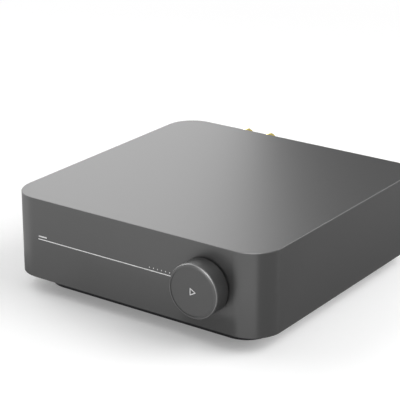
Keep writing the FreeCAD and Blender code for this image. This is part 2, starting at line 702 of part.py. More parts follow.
def on_board(x, y, width, depth, height, low=None):
    """A component's block standing on a board, centred on x and y."""
    low = BOARD_TOP if low is None else low
    return block((x - width / 2, x + width / 2), (y - depth / 2, y + depth / 2), (low, low + height))


def boards():
    """The main and power boards and the screws that hold them to the bottom cover."""
    main = drilled_board((-MAIN_HALF, MAIN_HALF), (MAIN_FRONT, MAIN_BACK), main_screw_points())
    power = drilled_board(*power_limits(), power_screw_points())
    front, screws = front_board()
    screws += [screw_down(x, y) for x, y in main_screw_points() + power_screw_points()]
    return {"main_board": main, "power_board": power, "board_screws": screws, **front}


def panel_screws():
    """The two screws through the rear panel into the cover's tabs."""
    z = COVER_HIGH + PANEL_SCREW_RISE
    heads = [rod(x, z, PANEL_FACE, PANEL_FACE + SCREW_HEAD_HEIGHT, SCREW_HEAD_RADIUS) for x in tab_points()]
    return [h.fuse(rod(x, z, PANEL_IN - TAB_THICKNESS - 1, PANEL_FACE, SCREW_RADIUS - 0.05)) for x,
            h in zip(tab_points(), heads)]


def socket_block(x, low, size, grow=0.0):
    """A socket's body: its mouth stands slightly proud of the rear panel."""
    half = size[0] / 2 + grow
    return block((x - half, x + half), (SOCKET_FACE - size[2], SOCKET_FACE),
                 (low - grow, low + size[1] + grow))


def rear_panel():
    """The panel behind the window in the shell, with a hole for each socket, terminal and screw."""
    wide, lap, gap = WINDOW_HALF, PANEL_LAP, PANEL_GAP
    flange = block((-wide - lap, wide + lap), (PANEL_IN, BACK_IN), (WINDOW_LOW - lap, WINDOW_HIGH + lap))
    face = block((-wide + gap, wide - gap), (BACK_IN, PANEL_FACE), (WINDOW_LOW + gap, WINDOW_HIGH - gap))
    panel = rounded(flange, WINDOW_RADIUS + lap, Y).fuse(rounded(face, WINDOW_RADIUS - gap, Y))
    for x, size in ((OPTICAL_X, OPTICAL), (HDMI_X, HDMI), (USB_X, USB), (NETWORK_X, NETWORK)):
        panel = panel.cut(socket_block(x, BOARD_TOP, size, SOCKET_GAP))
    panel = panel.cut(socket_block(INLET_X, BOARD_TOP + INLET_LIFT, INLET, SOCKET_GAP))
    for x, z in post_points():
        panel = panel.cut(rod(x, z, PANEL_IN, PANEL_FACE, INSULATOR_NECK + NECK_GAP))
    for x in jack_positions():
        panel = panel.cut(rod(x, JACK_Z, PANEL_IN, PANEL_FACE, JACK_COLLAR + NECK_GAP))
    for x in tab_points():
        panel = panel.cut(rod(x, COVER_HIGH + PANEL_SCREW_RISE, PANEL_IN, PANEL_FACE,
                              SCREW_RADIUS + COVER_GAP))
    return {"rear_panel": panel.removeSplitter()}


def speaker_terminals():
    """Four binding posts, insulated from the panel; each thumb nut carries a pressure ring."""
    made = {"terminal_studs": [], "terminal_insulators_red": [], "terminal_insulators_black": [],
            "terminal_nuts": []}
    for number, (x, z) in enumerate(post_points(), 1):
        colour = "red" if x == POST_COLUMNS[0] else "black"
        made["terminal_studs"].append(terminal_stud(x, z))
        made["terminal_insulators_" + colour] += terminal_insulator(x, z)
        near = PANEL_IN - INSULATOR_INSIDE - POST_NUT_THICKNESS
        nut = hexagon(x, z, near, near + POST_NUT_THICKNESS, POST_NUT_ACROSS)
        made["terminal_nuts"].append(nut.cut(rod(x, z, near, near + POST_NUT_THICKNESS, STUD_RADIUS)))
        made["pressure_ring_%d" % number] = pressure_ring(x, z)
        made["thumb_nut_%d" % number] = thumb_nut(x, z)
    return made


def terminal_stud(x, z):
    """The threaded stud with its socket for a banana plug and a tail for the terminal board."""
    stud = rod(x, z, TERMINAL_BOARD, STUD_END, STUD_RADIUS)
    stud = stud.fuse(rod(x, z, TERMINAL_BOARD - STUD_TAIL, TERMINAL_BOARD, STUD_TAIL_RADIUS))
    return stud.cut(rod(x, z, STUD_END - BANANA_DEPTH, STUD_END, BANANA_RADIUS))


def terminal_insulator(x, z):
    """The coloured flange with its neck through the panel, and the washer inside."""
    flange = rod(x, z, PANEL_FACE, PANEL_FACE + INSULATOR_PROUD, INSULATOR_RADIUS)
    rim = [e for e in flange.Edges
           if all(abs(v.Y - PANEL_FACE - INSULATOR_PROUD) < 1e-6 for v in e.Vertexes)]
    flange = flange.makeChamfer(THUMB_CHAMFER, rim).fuse(rod(x, z, PANEL_IN, PANEL_FACE, INSULATOR_NECK))
    washer = tube(x, z, PANEL_IN - INSULATOR_INSIDE, PANEL_IN, INSULATOR_RADIUS, STUD_RADIUS)
    return [flange.cut(rod(x, z, PANEL_IN, PANEL_FACE + INSULATOR_PROUD, STUD_RADIUS)).removeSplitter(),
            washer]


def pressure_ring(x, z):
    """The ring that presses on a bare wire; its inner lip is caught behind the thumb nut's collar."""
    far = RING_NEAR + RING_THICKNESS
    ring = tube(x, z, RING_NEAR, far, RING_RADIUS, RING_BORE)
    return ring.cut(rod(x, z, RING_NEAR, far - RING_LIP, RING_COUNTERBORE))


def thumb_nut(x, z):
    """The fluted nut that runs on the stud, with the collar that carries the pressure ring."""
    shoulder = RING_NEAR + RING_THICKNESS + COLLAR_SLIT
    grip = rod(x, z, shoulder, POST_END, THUMB_RADIUS)
    grip = grip.makeChamfer(THUMB_CHAMFER,
                            [e for e in grip.Edges if all(abs(v.Y - POST_END) < 1e-6 for v in e.Vertexes)])
    for k in range(THUMB_FLUTES):
        turn = math.radians(360.0 / THUMB_FLUTES * (k + 0.5))
        reach = THUMB_RADIUS + THUMB_FLUTE_RADIUS * 0.4
        flute = (x + reach * math.cos(turn), z + reach * math.sin(turn))
        grip = grip.cut(rod(*flute, shoulder - 1, shoulder + THUMB_FLUTE_LENGTH, THUMB_FLUTE_RADIUS))
    lip_far = RING_NEAR + RING_THICKNESS - RING_LIP - COLLAR_SLIT
    collar = rod(x, z, RING_NEAR + COLLAR_SLIT, lip_far,
                 COLLAR_LIP).fuse(rod(x, z, lip_far, shoulder, COLLAR_RADIUS))
    nut = grip.fuse(collar).cut(rod(x, z, RING_NEAR, POST_END - THUMB_LIP, STUD_RADIUS + THREAD_RUNNING))
    return nut.cut(rod(x, z, POST_END - THUMB_LIP, POST_END, THUMB_MOUTH)).removeSplitter()


def phono_jacks():
    """Three phono jacks: housing with its collar, metal barrel, insert and centre contact."""
    housings, barrels, inserts, contacts = [], [], [], []
    for x in jack_positions():
        collar_end = PANEL_FACE + JACK_COLLAR_PROUD
        seat = PANEL_IN - JACK_SEAT
        half = JACK_HOUSING / 2
        housing = block((x - half, x + half), (PANEL_IN - JACK_HOUSING_DEPTH, PANEL_IN),
                        (ANALOGUE_TOP, JACK_Z + half))
        housing = housing.fuse(rod(x, JACK_Z, PANEL_IN, collar_end, JACK_COLLAR))
        housings.append(housing.cut(rod(x, JACK_Z, seat, collar_end, JACK_BARREL_ROOT)))
        inner = JACK_BARREL - JACK_BARREL_WALL
        barrel = rod(x, JACK_Z, collar_end, JACK_END,
                     JACK_BARREL).fuse(rod(x, JACK_Z, seat, collar_end, JACK_BARREL_ROOT))
        barrels.append(barrel.cut(rod(x, JACK_Z, seat, JACK_END, inner)))
        mouth = JACK_END - JACK_SETBACK
        outer = JACK_CONTACT + JACK_CONTACT_WALL
        contacts.append(tube(x, JACK_Z, mouth - JACK_CONTACT_DEPTH, mouth, outer, JACK_CONTACT))
        insert = rod(x, JACK_Z, seat, mouth, inner)
        inserts.append(insert.cut(rod(x, JACK_Z, mouth - JACK_CONTACT_DEPTH, mouth, outer)))
    return {"jack_housings": housings, "jack_barrels": barrels, "jack_contacts": contacts,
            "jack_insert_white": inserts[0],
            "jack_insert_red": inserts[1], "jack_insert_black": inserts[2]}


def metal_port(x, size, corner):
    """A thin metal shell around a tongue's space, its lower corners cut off where corner is not zero."""
    outside = socket_block(x, BOARD_TOP, size)
    inside = block((x - size[0] / 2 + PORT_WALL, x + size[0] / 2 - PORT_WALL),
                   (SOCKET_FACE - size[2], SOCKET_FACE),
                   (BOARD_TOP + PORT_WALL, BOARD_TOP + size[1] - PORT_WALL))
    if corner:
        outside, inside = [s.makeChamfer(corner, lower_edges(s)) for s in (outside, inside)]
    return outside.cut(inside), inside


def lower_edges(shape):
    """The two lowest edges that run along Y."""
    low = shape.BoundBox.ZMin
    along = [e for e in shape.Edges if abs(e.Vertexes[0].Y - e.Vertexes[-1].Y) > 1]
    return [e for e in along if all(abs(v.Z - low) < 1e-6 for v in e.Vertexes)]


def port_tongue(x, size, inside, rise):
    """The plastic core of a port: a plug across its back and the tongue that carries the contacts."""
    back = SOCKET_FACE - size[2]
    plug = inside.common(block((x - 50, x + 50), (back, back + TONGUE_ROOT), (0, 100)))
    z = BOARD_TOP + size[1] / 2 + rise
    half = TONGUE_THICKNESS / 2
    tongue = block((x - TONGUE_WIDTH / 2, x + TONGUE_WIDTH / 2), (back, SOCKET_FACE - TONGUE_SETBACK),
                   (z - half, z + half))
    return plug.fuse(tongue).removeSplitter()


def digital_sockets():
    """The display, storage and network sockets."""
    hdmi, hdmi_space = metal_port(HDMI_X, HDMI, HDMI_CORNER)
    usb, usb_space = metal_port(USB_X, USB, 0.0)
    tongues = [port_tongue(HDMI_X, HDMI, hdmi_space, 0.0), port_tongue(USB_X, USB, usb_space, USB[1] / 8)]
    network = socket_block(NETWORK_X, BOARD_TOP, NETWORK)
    width, height, depth = NETWORK_OPENING
    notch_width, notch_height = NETWORK_NOTCH
    span = (SOCKET_FACE - depth, SOCKET_FACE)
    sill = BOARD_TOP + NETWORK_SILL
    notch = block((NETWORK_X - notch_width / 2, NETWORK_X + notch_width / 2), span,
                  (sill, sill + notch_height))
    well = block((NETWORK_X - width / 2, NETWORK_X + width / 2), span,
                 (sill + notch_height, sill + notch_height + height))
    return {"hdmi_socket": hdmi, "usb_socket": usb, "port_tongues": tongues,
            "network_socket": network.cut(notch).cut(well)}


def optical_socket():
    """The optical socket and the spring shutter that hangs across its mouth."""
    body = socket_block(OPTICAL_X, BOARD_TOP, OPTICAL)
    half = MOUTH_WIDTH / 2
    across = (OPTICAL_X - half, OPTICAL_X + half)
    body = body.cut(block(across, (SOCKET_FACE - OPTICAL_WELL, SOCKET_FACE), (MOUTH_LOW, MOUTH_TOP)))
    recess_front = SHUTTER_Y + SHUTTER_THICKNESS + SHUTTER_GAP
    body = body.cut(block(across, (SOCKET_FACE - OPTICAL_WELL, recess_front),
                          (MOUTH_TOP, MOUTH_TOP + SHUTTER_ROOF)))
    reach = half + SHUTTER_PIN_REACH
    pin_y = SHUTTER_Y + SHUTTER_THICKNESS / 2
    hole = Part.makeCylinder(SHUTTER_PIN_RADIUS + SHUTTER_RUNNING, 2 * reach + 0.4,
                             V(OPTICAL_X - reach - 0.2, pin_y, SHUTTER_Z), X)
    pin = Part.makeCylinder(SHUTTER_PIN_RADIUS, 2 * reach, V(OPTICAL_X - reach, pin_y, SHUTTER_Z), X)
    leaf_half = half - SHUTTER_GAP
    leaf = block((OPTICAL_X - leaf_half, OPTICAL_X + leaf_half),
                 (SHUTTER_Y, SHUTTER_Y + SHUTTER_THICKNESS), (MOUTH_LOW + SHUTTER_GAP, SHUTTER_Z))
    return {"optical_socket": body.cut(hole).removeSplitter(),
            "optical_shutter": leaf.fuse(pin).removeSplitter()}


def mains_inlet():
    """The mains inlet: body, flange outside the panel, figure-eight well, two pins and their tabs."""
    low = BOARD_TOP + INLET_LIFT
    width, height, depth = INLET
    face = PANEL_FACE + INLET_FLANGE_THICKNESS
    back = PANEL_FACE - depth
    body = block((INLET_X - width / 2, INLET_X + width / 2), (back, PANEL_FACE), (low, low + height))
    reach_x, reach_z = width / 2 + INLET_FLANGE, height / 2 + INLET_FLANGE
    flange = block((INLET_X - reach_x, INLET_X + reach_x), (PANEL_FACE, face),
                   (INLET_Z - reach_z, INLET_Z + reach_z))
    body = body.fuse(rounded(flange, INLET_FLANGE * 2, Y))
    half = INLET_PIN_PITCH / 2
    well = block((INLET_X - half, INLET_X + half), (face - INLET_WELL, face),
                 (INLET_Z - INLET_WAIST, INLET_Z + INLET_WAIST))
    pins = []
    for x in (INLET_X - half, INLET_X + half):
        well = well.fuse(rod(x, INLET_Z, face - INLET_WELL, face, INLET_LOBE))
        pin = rod(x, INLET_Z, back, face - INLET_WELL + INLET_PIN_LENGTH, INLET_PIN_RADIUS)
        tab = block((x - INLET_TAB[0] / 2, x + INLET_TAB[0] / 2), (back - INLET_TAB[2], back),
                    (INLET_Z - INLET_TAB[1] / 2, INLET_Z + INLET_TAB[1] / 2))
        pins.append(pin.fuse(tab))
    body = body.cut(well)
    for pin in pins:
        body = body.cut(pin)
    return {"mains_inlet": body.removeSplitter(), "inlet_pins": pins}


def side_boards():
    """The analogue board on spacers over the main board, and the board behind the terminals."""
    (left, right), (near, far) = analogue_limits()
    analogue = block((left, right), (near, far), (ANALOGUE_LOW, ANALOGUE_TOP))
    spacers = [pillar(x, y, BOARD_TOP, ANALOGUE_LOW, SPACER_RADIUS) for x, y in spacer_points()]
    spacers += [threaded_spacer(x, y, COVER_HIGH, BOARD_LOW) for x,
                y in main_screw_points() + power_screw_points()]
    spacers += [threaded_spacer(x, y, FOOT_PROUD + PLINTH_FLOOR, COVER_LOW) for x,
                y in plinth_screw_points()]
    reach = INSULATOR_RADIUS + 1
    terminal = block((POST_COLUMNS[0] - reach, POST_COLUMNS[1] + reach),
                     (TERMINAL_BOARD - BOARD, TERMINAL_BOARD),
                     (BOARD_TOP + 2, POST_ROWS[0] + reach))
    for x, z in post_points():
        terminal = terminal.cut(rod(x, z, TERMINAL_BOARD - BOARD, TERMINAL_BOARD, STUD_TAIL_RADIUS))
    return {"analogue_board": analogue, "board_spacers": spacers, "terminal_board": terminal}


def threaded_spacer(x, y, low, high):
    """A round spacer between two pieces, bored through for the screw."""
    return pillar(x, y, low, high, STANDOFF_RADIUS).cut(pillar(x, y, low, high, SCREW_RADIUS))


def heat_sink(x, y, width, depth, height):
    """A finned heat sink, its fins along Y."""
    sink = on_board(x, y, width, depth, HEAT_SINK_BASE)
    count = int((width - FIN_THICKNESS) // FIN_PITCH) + 1
    first = x - (count - 1) * FIN_PITCH / 2
    for k in range(count):
        sink = sink.fuse(on_board(first + k * FIN_PITCH, y, FIN_THICKNESS, depth, height))
    return sink.removeSplitter()


def transformer(x, y):
    """The mains transformer's core: an outer frame and a middle limb around two windows."""
    width, depth, height = TRANSFORMER
    core = on_board(x, y, width, depth, height)
    gap = (width - 3 * CORE_LIMB) / 2
    window_low, window_height = BOARD_TOP + CORE_LIMB, height - 2 * CORE_LIMB
    for side in (-1, 1):
        middle = x + side * (CORE_LIMB + gap) / 2
        core = core.cut(on_board(middle, y, gap, depth, window_height, window_low))
    reach = CORE_LIMB + 2 * gap - 2 * WINDING_GAP
    winding = on_board(x, y, reach, depth + 2 * WINDING_PROUD, window_height - 2 * WINDING_GAP,
                       window_low + WINDING_GAP)
    winding = rounded(winding, WINDING_ROUND, Z)
    limb = on_board(x, y, CORE_LIMB + 2 * WINDING_GAP, depth + 2 * WINDING_GAP, window_height, window_low)
    return core, winding.cut(limb)


def can(x, y, radius, height):
    """A round component standing on a board."""
    return pillar(x, y, BOARD_TOP, BOARD_TOP + height, radius)


def electrolytic(x, y, radius, height):
    """A capacitor's can with the crimped groove above its rubber bung."""
    low = BOARD_TOP + CRIMP_RISE
    groove = pillar(x, y, low, low + CRIMP_WIDTH, radius + 1)
    groove = groove.cut(pillar(x, y, low, low + CRIMP_WIDTH, radius - CRIMP_DEPTH))
    return can(x, y, radius, height).cut(groove)


def toroid(x, y):
    """The ring choke, its edges rounded by the winding."""
    ring = can(x, y, CHOKE_RADIUS, CHOKE_HEIGHT).cut(can(x, y, CHOKE_BORE, CHOKE_HEIGHT))
    rims = [e for e in ring.Edges if e.Closed and abs(e.BoundBox.ZLength) < 1e-6]
    return ring.makeFillet(CHOKE_ROUND, rims)


def drum_coil(x, y):
    """An output coil wound on a drum between two flanges."""
    top = BOARD_TOP + COIL_HEIGHT
    waist = pillar(x, y, BOARD_TOP, top, COIL_WAIST)
    lower = pillar(x, y, BOARD_TOP, BOARD_TOP + COIL_FLANGE, COIL_RADIUS)
    return waist.fuse([lower, pillar(x, y, top - COIL_FLANGE, top, COIL_RADIUS)]).removeSplitter()


def film_capacitor(x, y, width, depth, height):
    """A boxed film capacitor with rounded upright edges."""
    return rounded(on_board(x, y, width, depth, height), FILM_ROUND, Z)


def power_parts():
    """What stands on the power board, and the output stage of the main board, placed from their edges."""
    left, right, front, back = -MAIN_HALF, MAIN_HALF, POWER_FRONT, MAIN_BACK
    sinks = [heat_sink(left + 58, front + 10, 36, 12, 24), heat_sink(left + 25, back - 44, 40, 22, 20)]
    bulk = [electrolytic(right - d, front + 18.5, CAPACITOR_RADIUS, CAPACITOR_HEIGHT) for d in (27.5, 47.5)]
    bulk += [electrolytic(left + 31.5, front + d, OUTPUT_CAPACITOR_RADIUS, OUTPUT_CAPACITOR_HEIGHT)
             for d in (25, 38.5, 52)]
    core, winding = transformer(left + 58, front + 40.4)
    coils = [drum_coil(left + d, back - 23) for d in (9, 20.1, 31.2, 42.3)]
    films = [film_capacitor(right - 47.5, front + 34, 18, 8, 14),
             film_capacitor(right - 47.5, POWER_BACK - 8, 18, 8, 14)]
    films += [film_capacitor(left + d, back - 12.5, 9, 5, 9) for d in (15, 27, 39)]
    return {"power_transformer": core, "heat_sinks": sinks, "bulk_capacitors": bulk,
            "wound_parts": [toroid(right - 27.5, front + 39.5), winding] + coils, "film_capacitors": films}


def signal_parts():
    """Chips, the wireless module under its can, antennas on the plastic rear panel, and headers."""
    left, right, back = -MAIN_HALF, MAIN_HALF, MAIN_BACK
    chips = [on_board(left + 12, POWER_FRONT + 30, 12, 9, 4),
             on_board(right - 61.5, back - 52, 20, 20, 1.6),
             on_board(right - 61.5, back - 32, 12, 9, 1.2), on_board(-12, back - 52, 9, 9, 1.4),
             on_board(-12, back - 36, 11, 8, 1.4), on_board(right - 37.5, back - 26, 10, 8, 1.4)]
    module = [on_board(MODULE_X, MODULE_Y, 24, 20, 1.0),
              on_board(MODULE_X, MODULE_Y, 20, 16, 2.2, BOARD_TOP + 1.0)]
    antennas = []
    for x, low in antenna_places():
        antennas.append(block((x - ANTENNA_WIDTH / 2, x + ANTENNA_WIDTH / 2),
                              (PANEL_IN - ANTENNA_THICKNESS, PANEL_IN), (low, low + ANTENNA_HEIGHT)))
    headers = [on_board(RIBBON_X, MAIN_FRONT + RIBBON_HEADER_FROM_FRONT, 16, 6, HEADER_HEIGHT),
               on_board(LINK_X, POWER_BACK - LINK_FROM_EDGE, 16, 5, HEADER_HEIGHT),
               on_board(LINK_X, MAIN_FRONT + LINK_FROM_EDGE, 16, 5, HEADER_HEIGHT),
               on_board(MAINS_X, MAINS_Y, 14, 7, HEADER_HEIGHT + 2)]
    behind = FRONT_BOARD + BOARD
    headers.append(block((RIBBON_X - 8, RIBBON_X + 8), (behind, behind + 4),
                         (RIBBON_LEVEL - 3, RIBBON_LEVEL + 3)))
    return {"board_chips": chips, "wireless_module": module, "antennas": antennas + antenna_leads(),
            "board_headers": headers}


def antenna_places():
    """The middle and lower edge of each antenna, between the jacks and the mains inlet."""
    x = (jack_positions()[0] + JACK_HOUSING / 2 + SOCKETS_TO) / 2
    return [(x, WINDOW_HIGH - drop) for drop in (ANTENNA_FIRST, ANTENNA_SECOND)]


def ribbon():
    """The flat cable from the front board to the main board."""
    t = RIBBON_THICKNESS
    near, far = FRONT_BOARD + BOARD + 4, MAIN_FRONT + RIBBON_HEADER_FROM_FRONT
    low = BOARD_TOP + HEADER_HEIGHT
    z = RIBBON_LEVEL
    outline = [(near, z + t / 2), (far + t / 2, z + t / 2), (far + t / 2, low), (far - t / 2, low),
               (far - t / 2, z - t / 2), (near, z - t / 2)]
    points = [V(RIBBON_X - RIBBON_WIDTH / 2, y, h) for y, h in outline]
    cable = polygon_prism(points, X * RIBBON_WIDTH)
    return {"ribbon_cable": cable}


def wiring():
    """The leads: mains to the power board, power to the main board, and straps to the terminals."""
    runs = []
    back = PANEL_FACE - INLET[2] - INLET_TAB[2]
    level = INLET_Z + 6
    for k, x in enumerate((INLET_X - INLET_PIN_PITCH / 2, INLET_X + INLET_PIN_PITCH / 2)):
        turn = back - 12 + 4 * k
        side = MAIN_HALF - 7.5 + 4 * k
        drop = MAINS_X - 4 + 8 * k
        runs.append(lead([V(x, back, INLET_Z), V(x, turn, INLET_Z), V(side, turn, INLET_Z),
                          V(side, MAINS_Y, level),
                          V(drop, MAINS_Y, level), V(drop, MAINS_Y, BOARD_TOP + HEADER_HEIGHT + 2)],
                         LEAD_RADIUS))
    top = BOARD_TOP + HEADER_HEIGHT
    t, arch = RIBBON_THICKNESS * 1.5, top + 7
    near, far = POWER_BACK - LINK_FROM_EDGE, MAIN_FRONT + LINK_FROM_EDGE
    outline = [(near - t, top), (near - t, arch + t), (far + t, arch + t), (far + t, top), (far, top),
               (far, arch), (near, arch), (near, top)]
    runs.append(polygon_prism([V(LINK_X - RIBBON_WIDTH / 2, y, z) for y, z in outline], X * RIBBON_WIDTH))
    face = TERMINAL_BOARD - BOARD
    for x, z in post_points():
        left = x + (3.6 if z == POST_ROWS[0] else -6.6)
        outline = [(face - 4 - t, BOARD_TOP), (face - 4 - t, z - 5), (face, z - 5), (face, z - 5 - t),
                   (face - 4, z - 5 - t), (face - 4, BOARD_TOP)]
        runs.append(polygon_prism([V(left, y, h) for y, h in outline], X * STRAP_WIDTH))
    return {"power_leads": runs}


def antenna_leads():
    """The thin coax lead from the wireless module to each antenna."""
    coax = []
    top = BOARD_TOP + 3.2
    for (x, low), side in zip(antenna_places(), (4, -4)):
        start = MODULE_X + side
        near = MAIN_BACK - 4 + side / 2
        coax.append(lead([V(start, MODULE_Y, top), V(start, MODULE_Y, top + 14),
                          V(x + side, near, top + 14), V(x + side, near, low + 2),
                          V(x + side, PANEL_IN - ANTENNA_THICKNESS, low + 2)], COAX_RADIUS))
    return coax


def save(name, shape):
    solids = shape if isinstance(shape, list) else [shape]
    whole = Part.makeCompound(solids) if len(solids) > 1 else solids[0]
    whole.exportStep(os.path.join("parts", name + ".step"))


def main():
    os.makedirs("parts", exist_ok=True)
    nodes = {"shell": shell(), "bottom_cover": bottom_cover()}
    makers = (front_lights, base, knob, encoder, boards, rear_panel, speaker_terminals, phono_jacks,
              digital_sockets,
              optical_socket, mains_inlet, side_boards, power_parts, signal_parts, ribbon, wiring)
    for make in makers:
        nodes.update(make())
    for name, shape in nodes.items():
        save(name, shape)


main()
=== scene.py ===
"""The looks of a compact streaming amplifier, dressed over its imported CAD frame."""

from __future__ import annotations

import logging
import math
from dataclasses import dataclass, fields
from enum import Enum
from typing import ClassVar, Sequence, Union

import bpy
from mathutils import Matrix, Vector


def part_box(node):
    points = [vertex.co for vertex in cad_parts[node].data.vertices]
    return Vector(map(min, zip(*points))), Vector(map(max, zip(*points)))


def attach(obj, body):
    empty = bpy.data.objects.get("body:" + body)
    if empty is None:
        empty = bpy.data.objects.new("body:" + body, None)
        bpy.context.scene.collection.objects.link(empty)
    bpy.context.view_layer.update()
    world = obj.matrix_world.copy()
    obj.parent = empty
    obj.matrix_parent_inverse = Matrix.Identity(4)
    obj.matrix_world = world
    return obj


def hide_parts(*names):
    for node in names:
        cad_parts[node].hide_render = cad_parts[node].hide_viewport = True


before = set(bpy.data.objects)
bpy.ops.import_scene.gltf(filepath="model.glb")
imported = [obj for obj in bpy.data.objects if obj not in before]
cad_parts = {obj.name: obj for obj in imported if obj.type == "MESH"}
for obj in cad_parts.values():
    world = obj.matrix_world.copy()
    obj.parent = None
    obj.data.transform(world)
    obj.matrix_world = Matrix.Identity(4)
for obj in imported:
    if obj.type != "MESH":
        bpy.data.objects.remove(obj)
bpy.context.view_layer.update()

log = logging.getLogger("amplifier")

MM = 0.001
CHASSIS = "chassis"
WHITE = (1.0, 1.0, 1.0, 1.0)
BLACK = (0.0, 0.0, 0.0, 1.0)
Colour = tuple[float, float, float]
Point = tuple[float, float, float]
Shade = tuple[float, float]  # how bright a card is at its top and at its bottom
Post = tuple[float, float, float, float]  # X, Y and the shade at one point of a card's plan
Socket = bpy.types.NodeSocket
Inputs = dict[Union[str, int], object]


def linear(value: int) -> float:
    """An 8-bit display level as the linear level that shaders read, by the sRGB curve."""
    share = value / 255
    return share / 12.92 if share <= 0.04045 else ((share + 0.055) / 1.055) ** 2.4


def srgb(red: int, green: int, blue: int) -> Colour:
    """An 8-bit display colour as the linear colour that shaders read."""
    return linear(red), linear(green), linear(blue)


def grey(value: int) -> Colour:
    """An even grey from its 8-bit display level."""
    return srgb(value, value, value)


def middle(node: str) -> Vector:
    """The middle of a CAD node's box."""
    low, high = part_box(node)
    return (low + high) / 2


def set_out(name: str, vertices: Sequence[Point], faces: Sequence[tuple[int, ...]] = (),
            material: Union[bpy.types.Material, None] = None) -> bpy.types.Object:
    """Puts a plain mesh in the scene.

    Args:
        name: The object's name.
        vertices: Its points.
        faces: Its faces.
        material: Its material, if it has one.

    Returns:
        The object.
    """
    mesh = bpy.data.meshes.new(name)
    mesh.from_pydata(vertices, [], faces)
    if material:
        mesh.materials.append(material)
    piece = bpy.data.objects.new(name, mesh)
    bpy.context.scene.collection.objects.link(piece)
    return piece


# Node trees


class Tree:
    """A node tree, with short ways to add to it."""

    def __init__(self, tree: bpy.types.NodeTree) -> None:
        """Keeps the tree."""
        self.tree = tree

    def feed(self, node: bpy.types.Node, inputs: Inputs) -> None:
        """Gives a node its inputs.

        Args:
            node: The node.
            inputs: A socket or a plain value for each input, by name or number.
        """
        for key, value in inputs.items():
            if isinstance(value, Socket):
                self.tree.links.new(value, node.inputs[key])
            else:
                node.inputs[key].default_value = value

    def node(self, kind: str, inputs: Inputs, **settings: object) -> bpy.types.Node:
        """Adds a node.

        Args:
            kind: The node's type.
            inputs: A socket or a plain value for each input, by name or number.
            settings: The node's own options.

        Returns:
            The node.
        """
        node = self.tree.nodes.new(kind)
        for option, value in settings.items():
            setattr(node, option, value)
        self.feed(node, inputs)
        return node

    def out(self, kind: str, inputs: Inputs, **settings: object) -> Socket:
        """Adds a node of which only the first output is used, and gives that output."""
        return self.node(kind, inputs, **settings).outputs[0]

    def math(self, kind: str, first: object, second: object = 0.0) -> Socket:
        """A math node on two sockets or numbers."""
        return self.out("ShaderNodeMath", {0: first, 1: second}, operation=kind)

    def ranged(self, value: Socket, **limits: float) -> Socket:
        """A Map Range node, with its limits by name."""
        named = {name.replace("_", " ").title(): limit for name, limit in limits.items()}
        return self.node("ShaderNodeMapRange", {"Value": value, **named}).outputs["Result"]

    def plain_sight(self) -> Socket:
        """One for what the camera sees, directly, in a gloss or through glass, and zero otherwise.

        Returns:
            The mask's socket.
        """
        rays = self.node("ShaderNodeLightPath", {}).outputs
        seen = self.math("MAXIMUM", rays["Is Camera Ray"], rays["Is Glossy Ray"])
        return self.math("MAXIMUM", seen, rays["Is Transmission Ray"])


class ShaderGroup(Tree):
    """A shader node group with named numbers in and out, which reads Object coordinates."""

    def __init__(self, name: str, inputs: dict[str, float], outputs: Sequence[str]) -> None:
        """Makes the group with its sockets.

        Args:
            name: The group's name.
            inputs: Its inputs with their plain values.
            outputs: Its outputs.
        """
        super().__init__(bpy.data.node_groups.new(name, "ShaderNodeTree"))
        self.start = self.tree.nodes.new("NodeGroupInput")
        self.end = self.tree.nodes.new("NodeGroupOutput")
        for title in [*inputs, *outputs]:
            way = "INPUT" if title in inputs else "OUTPUT"
            socket = self.tree.interface.new_socket(title, in_out=way,
                                                    socket_type="NodeSocketFloat")
            if title in inputs:
                socket.default_value = inputs[title]
        self.place = self.node("ShaderNodeTexCoord", {}).outputs["Object"]
        self.axes = self.node("ShaderNodeSeparateXYZ", {0: self.place}).outputs

    def given(self, title: str) -> Socket:
        """The group's input of that name."""
        return self.start.outputs[title]

    def off_axis(self) -> Socket:
        """The distance from the axis along Y that runs through Centre X and Centre Z.

        Returns:
            The distance's socket.
        """
        squares = []
        for axis in ("X", "Z"):
            away = self.math("SUBTRACT", self.axes[axis], self.given(f"Centre {axis}"))
            squares.append(self.math("MULTIPLY", away, away))
        return self.math("SQRT", self.math("ADD", *squares))


MIDDLE_LEVEL = 0.5  # of what a texture gives
GRAIN_DETAIL = 3.0
GRAIN_ROUGHNESS = 0.6
PATCHES_PER_METRE = 22.0
PATCH_DETAIL = 2.0
SPECKLE = 0.6  # how far the grain varies the colour, against the patches
TRACK_AREAS_PER_METRE = 95.0
TRACK_SHARE = 0.36  # of their pitch that tracks take up
BARE_AREAS = 0.45  # the share of areas without tracks


def fine_grain_group() -> ShaderGroup:
    """Even fine grain, as on blasted metal or moulded plastic.

    Returns:
        A group with Size (mm) and Patchiness in, and Height and Tint out.
    """
    group = ShaderGroup("fine_grain", {"Size": 0.2, "Patchiness": 0.1}, ["Height", "Tint"])
    grain = group.node("ShaderNodeTexNoise", {
        "Vector": group.place, "Scale": group.math("DIVIDE", 1 / MM, group.given("Size")),
        "Detail": GRAIN_DETAIL, "Roughness": GRAIN_ROUGHNESS}).outputs["Fac"]
    patches = group.node("ShaderNodeTexNoise", {
        "Vector": group.place, "Scale": PATCHES_PER_METRE, "Detail": PATCH_DETAIL}).outputs["Fac"]
    offset = group.math("SUBTRACT", patches, MIDDLE_LEVEL)
    speckle = group.math("MULTIPLY", group.math("SUBTRACT", grain, MIDDLE_LEVEL), SPECKLE)
    spread = group.math("MULTIPLY", group.math("ADD", offset, speckle), group.given("Patchiness"))
    group.feed(group.end, {"Height": grain, "Tint": group.math("ADD", 1.0, spread)})
    return group


